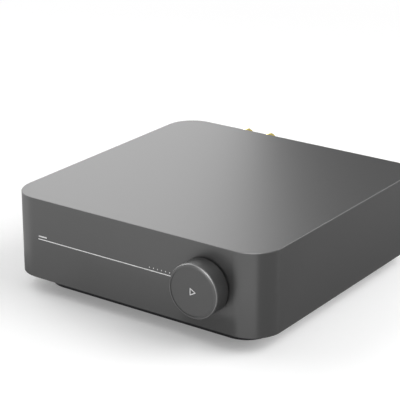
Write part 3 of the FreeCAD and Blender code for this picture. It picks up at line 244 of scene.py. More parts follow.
def turned_rings_group() -> ShaderGroup:
    """Concentric tool marks round the Y axis of a turned piece.

    Returns:
        A group with Pitch (mm), Centre X and Centre Z in, and Height out.
    """
    group = ShaderGroup("turned_rings", {"Pitch": 0.2, "Centre X": 0.0, "Centre Z": 0.0},
                        ["Height"])
    travel = group.math("ADD", group.off_axis(), group.axes["Y"])
    radian = group.math("MULTIPLY", group.given("Pitch"), MM / math.tau)
    turns = group.math("DIVIDE", travel, radian)
    group.feed(group.end, {"Height": group.math("SINE", turns)})
    return group


def painted_highlight_band_group() -> ShaderGroup:
    """Painted highlight: a narrow band round a turned piece's Y axis, on one side of a plane
    across it.

    Returns:
        A group with Centre X, Centre Z, Radius, Width and Limit (metres) in, and Band out.
    """
    sizes = ("Centre X", "Centre Z", "Radius", "Width", "Limit")
    group = ShaderGroup("painted_highlight_band", dict.fromkeys(sizes, 0.0), ["Band"])
    away = group.math("ABSOLUTE", group.math("SUBTRACT", group.off_axis(), group.given("Radius")))
    near = group.math("LESS_THAN", away, group.given("Width"))
    before = group.math("LESS_THAN", group.axes["Y"], group.given("Limit"))
    group.feed(group.end, {"Band": group.math("MULTIPLY", near, before)})
    return group


def board_tracks_group() -> ShaderGroup:
    """Copper tracks under the mask of a circuit board, in areas that run one way or the other.

    Returns:
        A group with Pitch (mm) in, and Track out.
    """
    group = ShaderGroup("board_tracks", {"Pitch": 1.2}, ["Track"])
    areas = group.node("ShaderNodeTexVoronoi", {
        "Vector": group.place, "Scale": TRACK_AREAS_PER_METRE}, distance="CHEBYCHEV")
    choice = group.node("ShaderNodeSeparateColor", {0: areas.outputs["Color"]}).outputs
    stripes = []
    for axis in ("X", "Y"):
        pitch = group.math("MULTIPLY", group.given("Pitch"), MM)
        turns = group.math("FRACT", group.math("DIVIDE", group.axes[axis], pitch))
        stripes.append(group.math("LESS_THAN", turns, TRACK_SHARE))
    way = group.math("GREATER_THAN", choice[0], MIDDLE_LEVEL)
    first = group.math("MULTIPLY", stripes[0], way)
    second = group.math("MULTIPLY", stripes[1], group.math("SUBTRACT", 1.0, way))
    filled = group.math("GREATER_THAN", choice[1], BARE_AREAS)
    tracks = group.math("MULTIPLY", group.math("ADD", first, second), filled)
    group.feed(group.end, {"Track": tracks})
    return group


GRAIN = fine_grain_group()
RINGS = turned_rings_group()
PAINTED_HIGHLIGHT_BAND = painted_highlight_band_group()
TRACKS = board_tracks_group()


class MaterialTree(Tree):
    """The node tree of a new material, with its Principled shader."""

    def __init__(self, name: str) -> None:
        """Makes the material.

        Args:
            name: The material's name.
        """
        self.material = bpy.data.materials.new(name)
        self.material.use_nodes = True
        super().__init__(self.material.node_tree)
        self.shader = self.tree.nodes["Principled BSDF"]

    def group(self, group: ShaderGroup, inputs: Inputs) -> bpy.types.NodeOutputs:
        """Adds one of the shader groups with its own values, and gives its outputs."""
        return self.node("ShaderNodeGroup", inputs, node_tree=group.tree).outputs

    def mix(self, factor: object, first: object, second: object, blend: str = "MIX") -> Socket:
        """A colour mixed from two.

        Args:
            factor: How much of the second there is.
            first: The first colour.
            second: The second colour.
            blend: How they are mixed.

        Returns:
            The mixed colour's socket.
        """
        node = self.node("ShaderNodeMix", {"Factor": factor, "A": first, "B": second},
                         data_type="RGBA", blend_type=blend)
        return node.outputs["Result"]


# Finishes


@dataclass(frozen=True)
class Finish:
    """A surface's colour and gloss, with the grain that varies them.

    Attributes:
        name: The material's name.
        colour: Its linear base colour.
        roughness: Its mean roughness.
        metallic: 1 for bare metal, 0 for plastic.
        grain_size: The grain's size in millimetres.
        grain_depth: The height of its bumps in millimetres.
        patchiness: How far the colour wanders.
        rim: How much of the gloss at a slanting view is kept.
    """

    name: str
    colour: Colour
    roughness: float = 0.5
    metallic: float = 0.0
    grain_size: float = 0.3
    grain_depth: float = 0.01
    patchiness: float = 0.15
    rim: float = 1.0

    def material(self) -> bpy.types.Material:
        """The finish as a material, made the first time it is asked for."""
        return bpy.data.materials.get(self.name) or self.build().material

    def build(self) -> MaterialTree:
        """Makes the material with its grain.

        Returns:
            The new material's tree.
        """
        tree = MaterialTree(self.name)
        grain = tree.group(GRAIN, {"Size": self.grain_size, "Patchiness": self.patchiness})
        tint = tree.mix(1.0, (*self.colour, 1.0), grain["Tint"], "MULTIPLY")
        bump = tree.node("ShaderNodeBump", {"Distance": self.grain_depth * MM,
                                            "Height": self.relief(tree, grain["Height"])})
        tree.feed(tree.shader, {
            "Base Color": self.pattern(tree, tint),
            "Metallic": self.metallic,
            "Roughness": tree.math("MULTIPLY", grain["Tint"], self.roughness),
            "Specular Tint": (self.rim, self.rim, self.rim, 1.0),
            "Normal": bump.outputs["Normal"],
        })
        return tree

    def relief(self, tree: MaterialTree, grain: Socket) -> Socket:
        """The height that feeds the bump: here, the grain alone."""
        return grain

    def pattern(self, tree: MaterialTree, base: Socket) -> Socket:
        """The colour with any pattern over it: here, the base colour alone."""
        return base


@dataclass(frozen=True)
class Turned(Finish):
    """A turned metal: tool rings, and a painted highlight in a thin lighter band at its rim.

    Attributes:
        centre: The X and Z of its axis, which runs along Y.
        pitch: The distance between rings in millimetres.
        highlight_radius: The band's radius.
        band_width: Half its width.
        highlight_limit: The Y that it stays in front of.
        highlight_colour: Its colour.
    """

    centre: tuple[float, float] = (0.0, 0.0)
    pitch: float = 0.22
    highlight_radius: float = 16.64 * MM
    band_width: float = 0.16 * MM
    highlight_limit: float = 0.0
    # painted highlight: the band's lighter colour stands in for a bright line that the rim mirrors
    highlight_colour: Colour = grey(122)

    def axis(self) -> dict[str, float]:
        """The inputs of a shader group that say where the axis is."""
        return {"Centre X": self.centre[0], "Centre Z": self.centre[1]}

    def relief(self, tree: MaterialTree, grain: Socket) -> Socket:
        """The grain and the rings together.

        Args:
            tree: The material's tree.
            grain: The grain's height.

        Returns:
            The summed height.
        """
        rings = tree.group(RINGS, {"Pitch": self.pitch, **self.axis()})
        return tree.math("ADD", grain, rings["Height"])

    def pattern(self, tree: MaterialTree, base: Socket) -> Socket:
        """The base colour with the painted highlight's band over it.

        Args:
            tree: The material's tree.
            base: The base colour.

        Returns:
            The mixed colour.
        """
        band = tree.group(PAINTED_HIGHLIGHT_BAND, {"Radius": self.highlight_radius, "Width": self.band_width,
                                     "Limit": self.highlight_limit, **self.axis()})
        return tree.mix(band["Band"], base, (*self.highlight_colour, 1.0))


@dataclass(frozen=True)
class Board(Finish):
    """A circuit board's mask with the tracks that show through it.

    Attributes:
        track_colour: The mask's colour over copper.
        pitch: The tracks' pitch in millimetres.
    """

    track_colour: Colour = srgb(26, 92, 56)
    pitch: float = 1.3

    def pattern(self, tree: MaterialTree, base: Socket) -> Socket:
        """The mask's colour with the tracks over it.

        Args:
            tree: The material's tree.
            base: The base colour.

        Returns:
            The mixed colour.
        """
        tracks = tree.group(TRACKS, {"Pitch": self.pitch})
        return tree.mix(tracks["Track"], base, (*self.track_colour, 1.0))


@dataclass(frozen=True)
class Lit(Finish):
    """A light guide or a pale inlay: glows with its own colour, which on an inlay is painted
    light.

    Attributes:
        strength: The glow's strength.
    """

    strength: float = 1.0

    def build(self) -> MaterialTree:
        """Makes the plain finish, then adds its glow.

        Returns:
            The new material's tree.
        """
        tree = super().build()
        tree.feed(tree.shader, {"Emission Color": (*self.colour, 1.0),
                                "Emission Strength": self.strength})
        return tree


KNOB_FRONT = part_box("knob_cap")[0].y
KNOB_EDGE = 1.4 * MM
KNOB_CENTRE = (middle("knob_cap").x, middle("knob_cap").z)

# Metals
CASING_METAL = Finish("anodised_casing", grey(93), roughness=0.40, metallic=0.92,
                      grain_size=0.25, grain_depth=0.003, patchiness=0.03, rim=0.52)
# the knob's metal carries a painted highlight, a lighter band near the front of its rim
KNOB_METAL = Turned("anodised_knob", grey(87), roughness=0.48, metallic=0.92, grain_size=0.2,
                    grain_depth=0.001, patchiness=0.03, centre=KNOB_CENTRE,
                    highlight_limit=KNOB_FRONT + KNOB_EDGE)
BLACK_STEEL = Finish("blackened_steel", srgb(40, 40, 42), roughness=0.38, metallic=0.9,
                     grain_depth=0.008)
BRIGHT_STEEL = Finish("bright_steel", srgb(176, 177, 180), roughness=0.3, metallic=1.0,
                      grain_size=0.4, grain_depth=0.006)
NICKEL = Finish("nickel_plate", srgb(188, 186, 180), roughness=0.22, metallic=1.0,
                grain_size=0.6, grain_depth=0.003)
GOLD = Finish("gold_plate", srgb(212, 194, 108), roughness=0.24, metallic=1.0,
              grain_size=0.5, grain_depth=0.003)
BRASS = Finish("turned_brass", srgb(190, 160, 96), roughness=0.32, metallic=1.0,
               grain_size=0.5, grain_depth=0.005)
PLAIN_ALUMINIUM = Finish("plain_aluminium", srgb(196, 198, 200), roughness=0.38, metallic=1.0,
                         grain_size=0.5)
ENAMELLED_WIRE = Finish("enamelled_wire", srgb(172, 92, 44), roughness=0.3, metallic=0.9,
                        grain_size=0.4, grain_depth=0.004)
# Plastics, coats and rubber
BLACK_PLASTIC = Finish("black_plastic", srgb(22, 22, 23), roughness=0.6, grain_size=0.5,
                       grain_depth=0.02, patchiness=0.1)
GLOSS_BLACK = Finish("gloss_black_plastic", srgb(22, 22, 23), roughness=0.25, grain_size=0.8,
                     grain_depth=0.004, patchiness=0.06)
RED_PLASTIC = Finish("red_plastic", srgb(176, 20, 24), roughness=0.3, grain_size=0.8,
                     grain_depth=0.004, patchiness=0.06)
WHITE_PLASTIC = Finish("white_plastic", srgb(226, 226, 222), roughness=0.32, grain_size=0.8,
                       grain_depth=0.004, patchiness=0.04)
HEADER = Finish("header_plastic", srgb(222, 216, 196), grain_size=0.7, grain_depth=0.006)
POWDER_COAT = Finish("black_powder_coat", srgb(34, 34, 35), roughness=0.6, grain_size=0.35,
                     grain_depth=0.03, patchiness=0.12)
RUBBER = Finish("foot_rubber", grey(24), roughness=0.85, grain_size=0.6, grain_depth=0.02,
                patchiness=0.2)
WIRE_SLEEVE = Finish("wire_sleeve", srgb(30, 30, 31), grain_size=0.8, grain_depth=0.006)
RIBBON = Finish("ribbon_sleeve", srgb(196, 196, 190), grain_size=1.0, grain_depth=0.02)
# Inlays, light and print
# painted light: the accent line's pale inlay glows faintly, though no lamp lights it
INLAY_PAINTED_GLOW = Lit("pale_inlay", grey(226), roughness=0.4, grain_depth=0.002, patchiness=0.03,
            strength=0.2)
# painted light: the play symbol's inlay glows faintly, though no lamp lights it
SYMBOL_PAINTED_GLOW = Lit("symbol_inlay", grey(228), roughness=0.45, grain_depth=0.002, patchiness=0.03,
             strength=0.12)
LIGHT = Lit("light_guide", grey(250), roughness=0.3, strength=3.0)
LED_RESIN = Finish("lamp_resin", srgb(236, 232, 200), roughness=0.2, grain_size=0.5,
                   grain_depth=0.002)
PALE_PRINT = Finish("pale_print", grey(176), roughness=0.6, grain_depth=0.002)
# Electronics
SOLDER_MASK = Board("solder_mask", srgb(14, 62, 38), roughness=0.35, grain_size=1.6,
                    patchiness=0.25)
SLEEVE = Finish("capacitor_sleeve", srgb(26, 32, 60), roughness=0.3, grain_size=1.0,
                grain_depth=0.006)
FILM_BOX = Finish("film_capacitor_box", srgb(186, 150, 52), roughness=0.45, grain_size=0.6)
FERRITE = Finish("ferrite", srgb(52, 52, 54), roughness=0.7, grain_size=0.4, grain_depth=0.03,
                 patchiness=0.2)


# Repeated pieces


class Slot(Enum):
    """The record's slots that go with the scene's own pieces, passed along but not used."""

    SCREWS = "screw_steel"
    CONTACTS = "gold"
    MARKS = "line_inlay"
    WINDINGS = "brass"
    LEGS = "nickel"
    TOPS = "sink_aluminium"


@dataclass(frozen=True)
class Spot:
    """A place for one of a row of pieces.

    Attributes:
        place: Where it is, in millimetres.
        facing: The way that it faces.
        scale: How large it is, against its shape's own size.
    """

    place: Point
    facing: Point = (0.0, 0.0, 1.0)
    scale: float = 1.0


def row(first: Point, step: Point, count: int, facing: Point) -> list[Spot]:
    """A straight row of spots."""
    return [Spot(tuple(a + b * k for a, b in zip(first, step)), facing) for k in range(count)]


class GeometryTree(Tree):
    """A geometry node tree with named sizes, which sets one shape on a mesh of spots."""

    def __init__(self, name: str, sizes: dict[str, float]) -> None:
        """Makes an empty tree.

        Args:
            name: The tree's name.
            sizes: Its named inputs, in metres or as shares.
        """
        super().__init__(bpy.data.node_groups.new(name, "GeometryNodeTree"))
        self.start = self.tree.nodes.new("NodeGroupInput")
        self.end = self.tree.nodes.new("NodeGroupOutput")
        sockets = self.tree.interface.new_socket
        sockets("Spots", in_out="INPUT", socket_type="NodeSocketGeometry")
        sockets("Piece", in_out="OUTPUT", socket_type="NodeSocketGeometry")
        self.values = {sockets(title, in_out="INPUT", socket_type="NodeSocketFloat").identifier:
                       size for title, size in sizes.items()}
        self.sizes = [self.start.outputs[title] for title in sizes]

    def vector(self, x: object = 0.0, y: object = 0.0, z: object = 0.0) -> Socket:
        """A vector from three sockets or numbers."""
        return self.out("ShaderNodeCombineXYZ", {0: x, 1: y, 2: z})

    def moved(self, geometry: Socket, shift: Socket) -> Socket:
        """The geometry shifted by a vector."""
        return self.out("GeometryNodeTransform", {"Geometry": geometry, "Translation": shift})

    def cylinder(self, vertices: int, radius: Socket, depth: Socket) -> bpy.types.NodeOutputs:
        """An upright cylinder with one face at each end, and the selections of its parts."""
        return self.node("GeometryNodeMeshCylinder", {
            "Vertices": vertices, "Radius": radius, "Depth": depth}, fill_type="NGON").outputs

    def circle(self, points: int, radius: Socket) -> Socket:
        """A circle that lies flat."""
        return self.out("GeometryNodeCurvePrimitiveCircle", {
            "Resolution": points, "Radius": radius})

    def cut(self, solid: Socket, tool: Socket) -> Socket:
        """A solid less a tool."""
        return self.node("GeometryNodeMeshBoolean", {"Mesh 1": solid, "Mesh 2": tool},
                         operation="DIFFERENCE", solver="EXACT").outputs["Mesh"]

    def swept(self, path: Socket, section: Socket, capped: bool) -> Socket:
        """A section swept along a path."""
        return self.out("GeometryNodeCurveToMesh", {
            "Curve": path, "Profile Curve": section, "Fill Caps": capped})

    def aligned(self, vector: Socket, axis: str, pivot: str) -> Socket:
        """The rotation that turns an axis to a vector."""
        return self.out("FunctionNodeAlignRotationToVector", {"Vector": vector}, axis=axis,
                        pivot_axis=pivot)

    def place(self, shape: Socket, axis: str, pivot: str, finish: Finish) -> None:
        """Sets the shape on every spot, makes the instances real and gives them their finish.

        Args:
            shape: The shape's geometry.
            axis: The shape's axis that is turned the way that the spot faces.
            pivot: The axis that it may turn about, or AUTO.
            finish: The pieces' finish.
        """
        facing, scale = (
            self.node("GeometryNodeInputNamedAttribute", {"Name": title},
                      data_type=kind).outputs["Attribute"]
            for title, kind in (("facing", "FLOAT_VECTOR"), ("scale", "FLOAT")))
        rows = self.out("GeometryNodeInstanceOnPoints", {
            "Points": self.start.outputs["Spots"], "Instance": shape, "Scale": scale,
            "Rotation": self.aligned(facing, axis, pivot)})
        real = self.out("GeometryNodeRealizeInstances", {"Geometry": rows})
        dressed = self.out("GeometryNodeSetMaterial", {"Geometry": real,
                                                       "Material": finish.material()})
        self.feed(self.end, {0: dressed})

    def run(self, name: str, spots: Sequence[Spot], slot: Slot) -> bpy.types.Object:
        """Runs the tree on a mesh of spots and keeps the result as a plain mesh.

        Args:
            name: The piece's name.
            spots: Where the tree's shape goes.
            slot: The record's slot for its finish. Not used.

        Returns:
            The piece.
        """
        piece = set_out(name, [tuple(value * MM for value in spot.place) for spot in spots])
        facing = piece.data.attributes.new("facing", "FLOAT_VECTOR", "POINT")
        facing.data.foreach_set("vector", [value for spot in spots for value in spot.facing])
        scale = piece.data.attributes.new("scale", "FLOAT", "POINT")
        scale.data.foreach_set("value", [spot.scale for spot in spots])
        modifier = piece.modifiers.new("tree", "NODES")
        modifier.node_group = self.tree
        for identifier, value in self.values.items():
            modifier[identifier] = value
        evaluated = piece.evaluated_get(bpy.context.evaluated_depsgraph_get())
        grown = bpy.data.meshes.new_from_object(evaluated)
        piece.modifiers.clear()
        piece.data = grown
        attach(piece, CHASSIS)
        return piece


@dataclass(frozen=True)
class Repeated:
    """A small shape that is set on spots. Its float fields are its tree's named inputs.

    The tree's sizes hold the inputs' sockets, in the order of the fields.
    """

    axis: ClassVar[str] = "Z"
    pivot: ClassVar[str] = "AUTO"

    def shape(self, tree: GeometryTree) -> Socket:
        """The shape's geometry, made in the tree."""
        raise NotImplementedError

    def grow(self, name: str, finish: Finish, spots: Sequence[Spot],
             slot: Slot) -> bpy.types.Object:
        """Sets the shape on every spot, as one piece.

        Args:
            name: The piece's name.
            finish: Its finish.
            spots: Where the shape goes.
            slot: The record's slot for its finish, passed to run. Not used.

        Returns:
            The piece.
        """
        values = {field.name: getattr(self, field.name) for field in fields(self)}
        tree = GeometryTree(name, {title.replace("_", " ").title(): value
                                   for title, value in values.items()
                                   if isinstance(value, float)})
        tree.place(self.shape(tree), self.axis, self.pivot, finish)
        return tree.run(name, spots, slot)


@dataclass(frozen=True)
class SocketScrew(Repeated):
    """A screw with a chamfered head and a six-sided socket, its head's face on the spot.

    Attributes:
        head_radius: The head's radius.
        head_height: The head's height.
        chamfer: The chamfer round the face.
        shank_radius: The shank's radius.
        grip: The shank's length.
        key_radius: The socket's radius across its corners.
        key_depth: The socket's depth.
        sides: How many sides the round parts have.
        key_sides: How many the socket has.
    """

    sides: ClassVar[int] = 28
    key_sides: ClassVar[int] = 6
    head_radius: float = 2.7 * MM
    head_height: float = 1.5 * MM
    chamfer: float = 0.3 * MM
    shank_radius: float = 1.4 * MM
    grip: float = 7.0 * MM
    key_radius: float = 1.35 * MM
    key_depth: float = 0.9 * MM

    def shape(self, tree: GeometryTree) -> Socket:
        """One screw: a shank, widened to a head in three steps, less its socket.

        Args:
            tree: The tree.

        Returns:
            The screw's mesh.
        """
        head, height, chamfer, shank, grip, key, depth = tree.sizes
        low = tree.cylinder(self.sides, shank, grip)
        rim = self.widened(tree, low["Mesh"], low["Top"], 0.0, tree.math("DIVIDE", head, shank))
        wall = self.widened(tree, *rim, tree.math("SUBTRACT", height, chamfer), 1.0)
        share = tree.math("DIVIDE", tree.math("SUBTRACT", head, chamfer), head)
        face = self.widened(tree, *wall, chamfer, share)
        length = tree.math("ADD", tree.math("MULTIPLY", grip, 0.5), height)
        solid = tree.moved(face[0], tree.vector(z=tree.math("MULTIPLY", length, -1.0)))
        tool = tree.cylinder(self.key_sides, key, tree.math("MULTIPLY", depth, 2.0))
        return tree.cut(solid, tool["Mesh"])

    @staticmethod
    def widened(tree: GeometryTree, mesh: Socket, top: Socket, rise: object,
                scale: object) -> tuple[Socket, Socket]:
        """Draws the top face out and scales it.

        Args:
            tree: The tree.
            mesh: The mesh so far.
            top: The selection that holds its top face.
            rise: How far the face moves.
            scale: How much wider it gets.

        Returns:
            The mesh and the selection of its new top face.
        """
        drawn = tree.node("GeometryNodeExtrudeMesh", {
            "Mesh": mesh, "Selection": top, "Offset Scale": rise, "Individual": False},
            mode="FACES").outputs
        sized = tree.node("GeometryNodeScaleElements", {
            "Geometry": drawn["Mesh"], "Selection": drawn["Top"], "Scale": scale}, domain="FACE")
        return sized.outputs["Geometry"], drawn["Top"]


@dataclass(frozen=True)
class BentStrip(Repeated):
    """A thin metal strip that starts at the spot and runs the way it faces, bent down or up.

    Attributes:
        length: How far it runs.
        rise: How far its end is above its start.
        width: Its width.
        thickness: Its thickness.
        bend: Where along its length the bend is, as a share.
        steps: How many lengths the bend is made of.
    """

    axis: ClassVar[str] = "X"
    pivot: ClassVar[str] = "Z"
    steps: ClassVar[int] = 5
    length: float
    rise: float
    width: float
    thickness: float = 0.15 * MM
    bend: float = 0.5

    def shape(self, tree: GeometryTree) -> Socket:
        """One strip: a flat section swept along a curve.

        Args:
            tree: The tree.

        Returns:
            The strip's mesh.
        """
        length, rise, width, thickness, bend = tree.sizes
        path = tree.out("GeometryNodeCurveQuadraticBezier", {
            "Resolution": self.steps, "Start": tree.vector(),
            "Middle": tree.vector(x=tree.math("MULTIPLY", length, bend)),
            "End": tree.vector(x=length, z=rise)})
        level = tree.out("GeometryNodeSetCurveNormal", {"Curve": path}, mode="Z_UP")
        section = tree.out("GeometryNodeCurvePrimitiveQuadrilateral", {
            "Width": thickness, "Height": width})
        return tree.swept(level, section, True)


WIRE_SIDES = 6


@dataclass(frozen=True)
class RingWinding(Repeated):
    """Wire wound round a ring that lies flat, its middle on the spot.

    Attributes:
        turns: The number of turns.
        middle: The radius of the ring's middle.
        across: The winding's width over the ring.
        height: Its height.
        corner: The radius at its corners.
        wire: The wire's radius.
        corner_steps: How many lengths a corner is made of.
    """

    corner_steps: ClassVar[int] = 2
    turns: int
    middle: float
    across: float
    height: float
    corner: float
    wire: float

    def shape(self, tree: GeometryTree) -> Socket:
        """One winding: a round-cornered turn of wire, set round a circle.

        Args:
            tree: The tree.

        Returns:
            The winding's instances.
        """
        middle, across, height, corner, wire = tree.sizes
        outline = tree.out("GeometryNodeCurvePrimitiveQuadrilateral", {
            "Width": across, "Height": height})
        loop = tree.out("GeometryNodeFilletCurve", {
            "Curve": outline, "Radius": corner, "Count": self.corner_steps}, mode="POLY")
        turn = tree.swept(loop, tree.circle(WIRE_SIDES, wire), False)
        upright = tree.out("GeometryNodeTransform", {
            "Geometry": turn, "Rotation": (math.pi / 2, 0.0, 0.0)})
        outward = tree.aligned(tree.out("GeometryNodeInputPosition", {}), "X", "Z")
        return tree.out("GeometryNodeInstanceOnPoints", {
            "Points": tree.circle(self.turns, middle), "Instance": upright,
            "Rotation": outward})


@dataclass(frozen=True)
class DrumWinding(Repeated):
    """Wire wound in a spiral round an upright drum, its foot on the spot.

    Attributes:
        turns: The number of turns.
        radius: The radius of the spiral.
        height: Its height.
        wire: The wire's radius.
        steps: How many lengths a turn is made of.
    """

    steps: ClassVar[int] = 18
    turns: float
    radius: float
    height: float
    wire: float

    def shape(self, tree: GeometryTree) -> Socket:
        """One winding: wire swept along a spiral.

        Args:
            tree: The tree.

        Returns:
            The winding's mesh.
        """
        turns, radius, height, wire = tree.sizes
        spiral = tree.out("GeometryNodeCurveSpiral", {
            "Resolution": self.steps, "Rotations": turns, "Height": height,
            "Start Radius": radius, "End Radius": radius})
        return tree.swept(spiral, tree.circle(WIRE_SIDES, wire), True)


@dataclass(frozen=True)
class ScoredTop(Repeated):
    """The bare top of an upright capacitor with its crossed vent score, its foot on the spot.

    Attributes:
        radius: Its radius.
        thickness: Its thickness.
        score: The score's width.
        sides: How many sides it has.
        score_length: The score's length, against the radius.
        score_level: Where the middle of the bars that cut it is, against the thickness.
    """

    sides: ClassVar[int] = 40
    score_length: ClassVar[float] = 1.3
    score_level: ClassVar[float] = 0.6
    radius: float = 1.0 * MM
    thickness: float = 0.03 * MM
    score: float = 0.07 * MM

    def shape(self, tree: GeometryTree) -> Socket:
        """One top: a disc, less two crossed bars that are let into its upper face.

        Args:
            tree: The tree.

        Returns:
            The top's mesh.
        """
        radius, thickness, score = tree.sizes
        scored = tree.cylinder(self.sides, radius, thickness)["Mesh"]
        long = tree.math("MULTIPLY", radius, self.score_length)
        lift = tree.vector(z=tree.math("MULTIPLY", thickness, self.score_level))
        for size in ((long, score, thickness), (score, long, thickness)):
            bar = tree.node("GeometryNodeMeshCube", {"Size": tree.vector(*size)}).outputs["Mesh"]
            scored = tree.cut(scored, tree.moved(bar, lift))
        return tree.moved(scored, tree.vector(z=tree.math("MULTIPLY", thickness, 0.5)))


# Sub-assemblies


class SubAssembly:
    """A group of pieces that are dressed and made together."""

    finishes: ClassVar[dict[str, Finish]] = {}

    def dress(self) -> None:
        """Gives each of its CAD nodes its finish."""
        for name, finish in self.finishes.items():
            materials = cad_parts[name].data.materials
            materials.clear()
            materials.append(finish.material())

    def build(self) -> list[bpy.types.Object]:
        """Makes its own pieces: here, none."""
        return []


@dataclass
class Casing(SubAssembly):
    """The shell, cover, base and the screws that hold them.

    Attributes:
        cover_screw: How far the cover's screws are from the middle, each way.
        cover_face: The height of their faces.
        base_screw: How far the base's screws are from the middle, each way.
        base_face: The height of their faces.
        panel_screw: How far the rear panel's screws are from the middle.
        panel_screw_z: Their height.
    """

    cover_screw: float = 83.5
    cover_face: float = 10.8
    base_screw: float = 67.2
    base_face: float = 0.5
    panel_screw: float = 61.5
    panel_screw_z: float = 20.3
    finishes: ClassVar[dict[str, Finish]] = {
        "shell": CASING_METAL, "bottom_cover": POWDER_COAT, "base_plinth": BLACK_PLASTIC,
        "rubber_foot_ring": RUBBER, "outer_screws": BLACK_STEEL,
    }

    def build(self) -> list[bpy.types.Object]:
        """Makes the outer screws with their sockets.

        Returns:
            The pieces.
        """
        down, back = (0.0, 0.0, -1.0), (0.0, 1.0, 0.0)
        spots = [Spot((x * reach, y * reach, face), down)
                 for reach, face in ((self.cover_screw, self.cover_face),
                                     (self.base_screw, self.base_face))
                 for x in (-1, 1) for y in (-1, 1)]
        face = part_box("outer_screws")[1].y / MM
        spots += [Spot((x * self.panel_screw, face, self.panel_screw_z), back) for x in (-1, 1)]
        screws = SocketScrew().grow("socket_screws", BLACK_STEEL, spots, Slot.SCREWS)
        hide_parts("outer_screws")
        return [screws]


class Front(SubAssembly):
    """The accent line, the light guides and the lamps behind them."""

    finishes: ClassVar[dict[str, Finish]] = {
        "front_accent_line": INLAY_PAINTED_GLOW, "front_light_guides": LIGHT, "indicator_lamps": LED_RESIN,
        "front_board": SOLDER_MASK,
    }


class VolumeKnob(SubAssembly):
    """The knob, its shaft and the encoder and switch behind it."""

    finishes: ClassVar[dict[str, Finish]] = {
        "knob_cap": KNOB_METAL, "knob_hub": BLACK_PLASTIC, "knob_play_symbol": SYMBOL_PAINTED_GLOW,
        "encoder_shaft": BRIGHT_STEEL, "encoder_body": GLOSS_BLACK, "encoder_fixings": NICKEL,
        "push_switch_plunger": BLACK_PLASTIC,
    }


@dataclass
class Terminals(SubAssembly):
    """The four speaker terminals and the marks printed beside them.

    Attributes:
        mark_size: The length of a mark's strokes.
        stroke: The width of a stroke.
        print_height: How far the print stands off the panel.
        plus_x: The middle of the marks beside the red terminals.
        minus_x: The middle of the marks beside the black terminals.
    """

    mark_size: float = 2.6
    stroke: float = 0.45
    print_height: float = 0.05
    plus_x: float = -66.6
    minus_x: float = -27.4
    finishes: ClassVar[dict[str, Finish]] = {
        "terminal_studs": GOLD, "terminal_insulators_red": RED_PLASTIC,
        "terminal_insulators_black": GLOSS_BLACK, "terminal_nuts": BRASS,
        "terminal_board": SOLDER_MASK,
        **{f"pressure_ring_{n}": NICKEL for n in range(1, 5)},
        **{f"thumb_nut_{n}": GOLD for n in range(1, 5)},
    }

    def outline(self, x: float, z: float, crossed: bool) -> list[tuple[float, float]]:
        """A mark's outline, seen from behind.

        Args:
            x: The X of its middle.
            z: The height of its middle.
            crossed: Whether it is a plus sign, rather than a minus sign.

        Returns:
            The outline's points.
        """
        long, half = self.mark_size / 2, self.stroke / 2
        if not crossed:
            return [(x - long, z - half), (x + long, z - half),
                    (x + long, z + half), (x - long, z + half)]
        quarter = [(long, -half), (long, half), (half, half)]
        turns = [(1, 0), (0, 1), (-1, 0), (0, -1)]
        return [(x + a * c - b * d, z + a * d + b * c) for c, d in turns for a, b in quarter]

    def build(self) -> list[bpy.types.Object]:
        """Prints a plus beside each red terminal and a minus beside each black one.

        Returns:
            The pieces.
        """
        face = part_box("rear_panel")[1].y / MM
        vertices: list[Point] = []
        faces: list[tuple[int, ...]] = []
        for nut in ("thumb_nut_1", "thumb_nut_3"):
            level = middle(nut).z / MM
            for x, crossed in ((self.plus_x, True), (self.minus_x, False)):
                outline = self.outline(x, level, crossed)
                first, count = len(vertices), len(outline)
                for y in (face, face + self.print_height):
                    vertices += [(a * MM, y * MM, b * MM) for a, b in outline]
                near = range(first, first + count)
                faces += [tuple(near), tuple(k + count for k in reversed(near))]
                faces += [(a, a + count, b + count, b) for a, b in zip(near, [*near[1:], first])]
        marks = set_out("terminal_marks", vertices, faces, PALE_PRINT.material())
        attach(marks, CHASSIS)
        return [marks]


@dataclass(frozen=True)
class ContactRow:
    """The contacts inside one of the rear sockets, side by side.

    Attributes:
        name: The piece's name.
        node: The CAD node that the row is centred in.
        count: How many contacts there are.
        pitch: The distance between them.
        setback: How far they start behind the tip of the sockets' tongues.
        level: Their height above the node's middle.
        strip: The shape of one.
    """

    name: str
    node: str
    count: int
    pitch: float
    setback: float
    level: float
    strip: BentStrip

    def build(self) -> bpy.types.Object:
        """Makes the contacts.

        Returns:
            The piece.
        """
        centre = middle(self.node) / MM
        first = (centre.x - self.pitch * (self.count - 1) / 2,
                 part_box("port_tongues")[1].y / MM - self.setback, centre.z + self.level)
        spots = row(first, (self.pitch, 0.0, 0.0), self.count, (0.0, -1.0, 0.0))
        return self.strip.grow(self.name, GOLD, spots, Slot.CONTACTS)


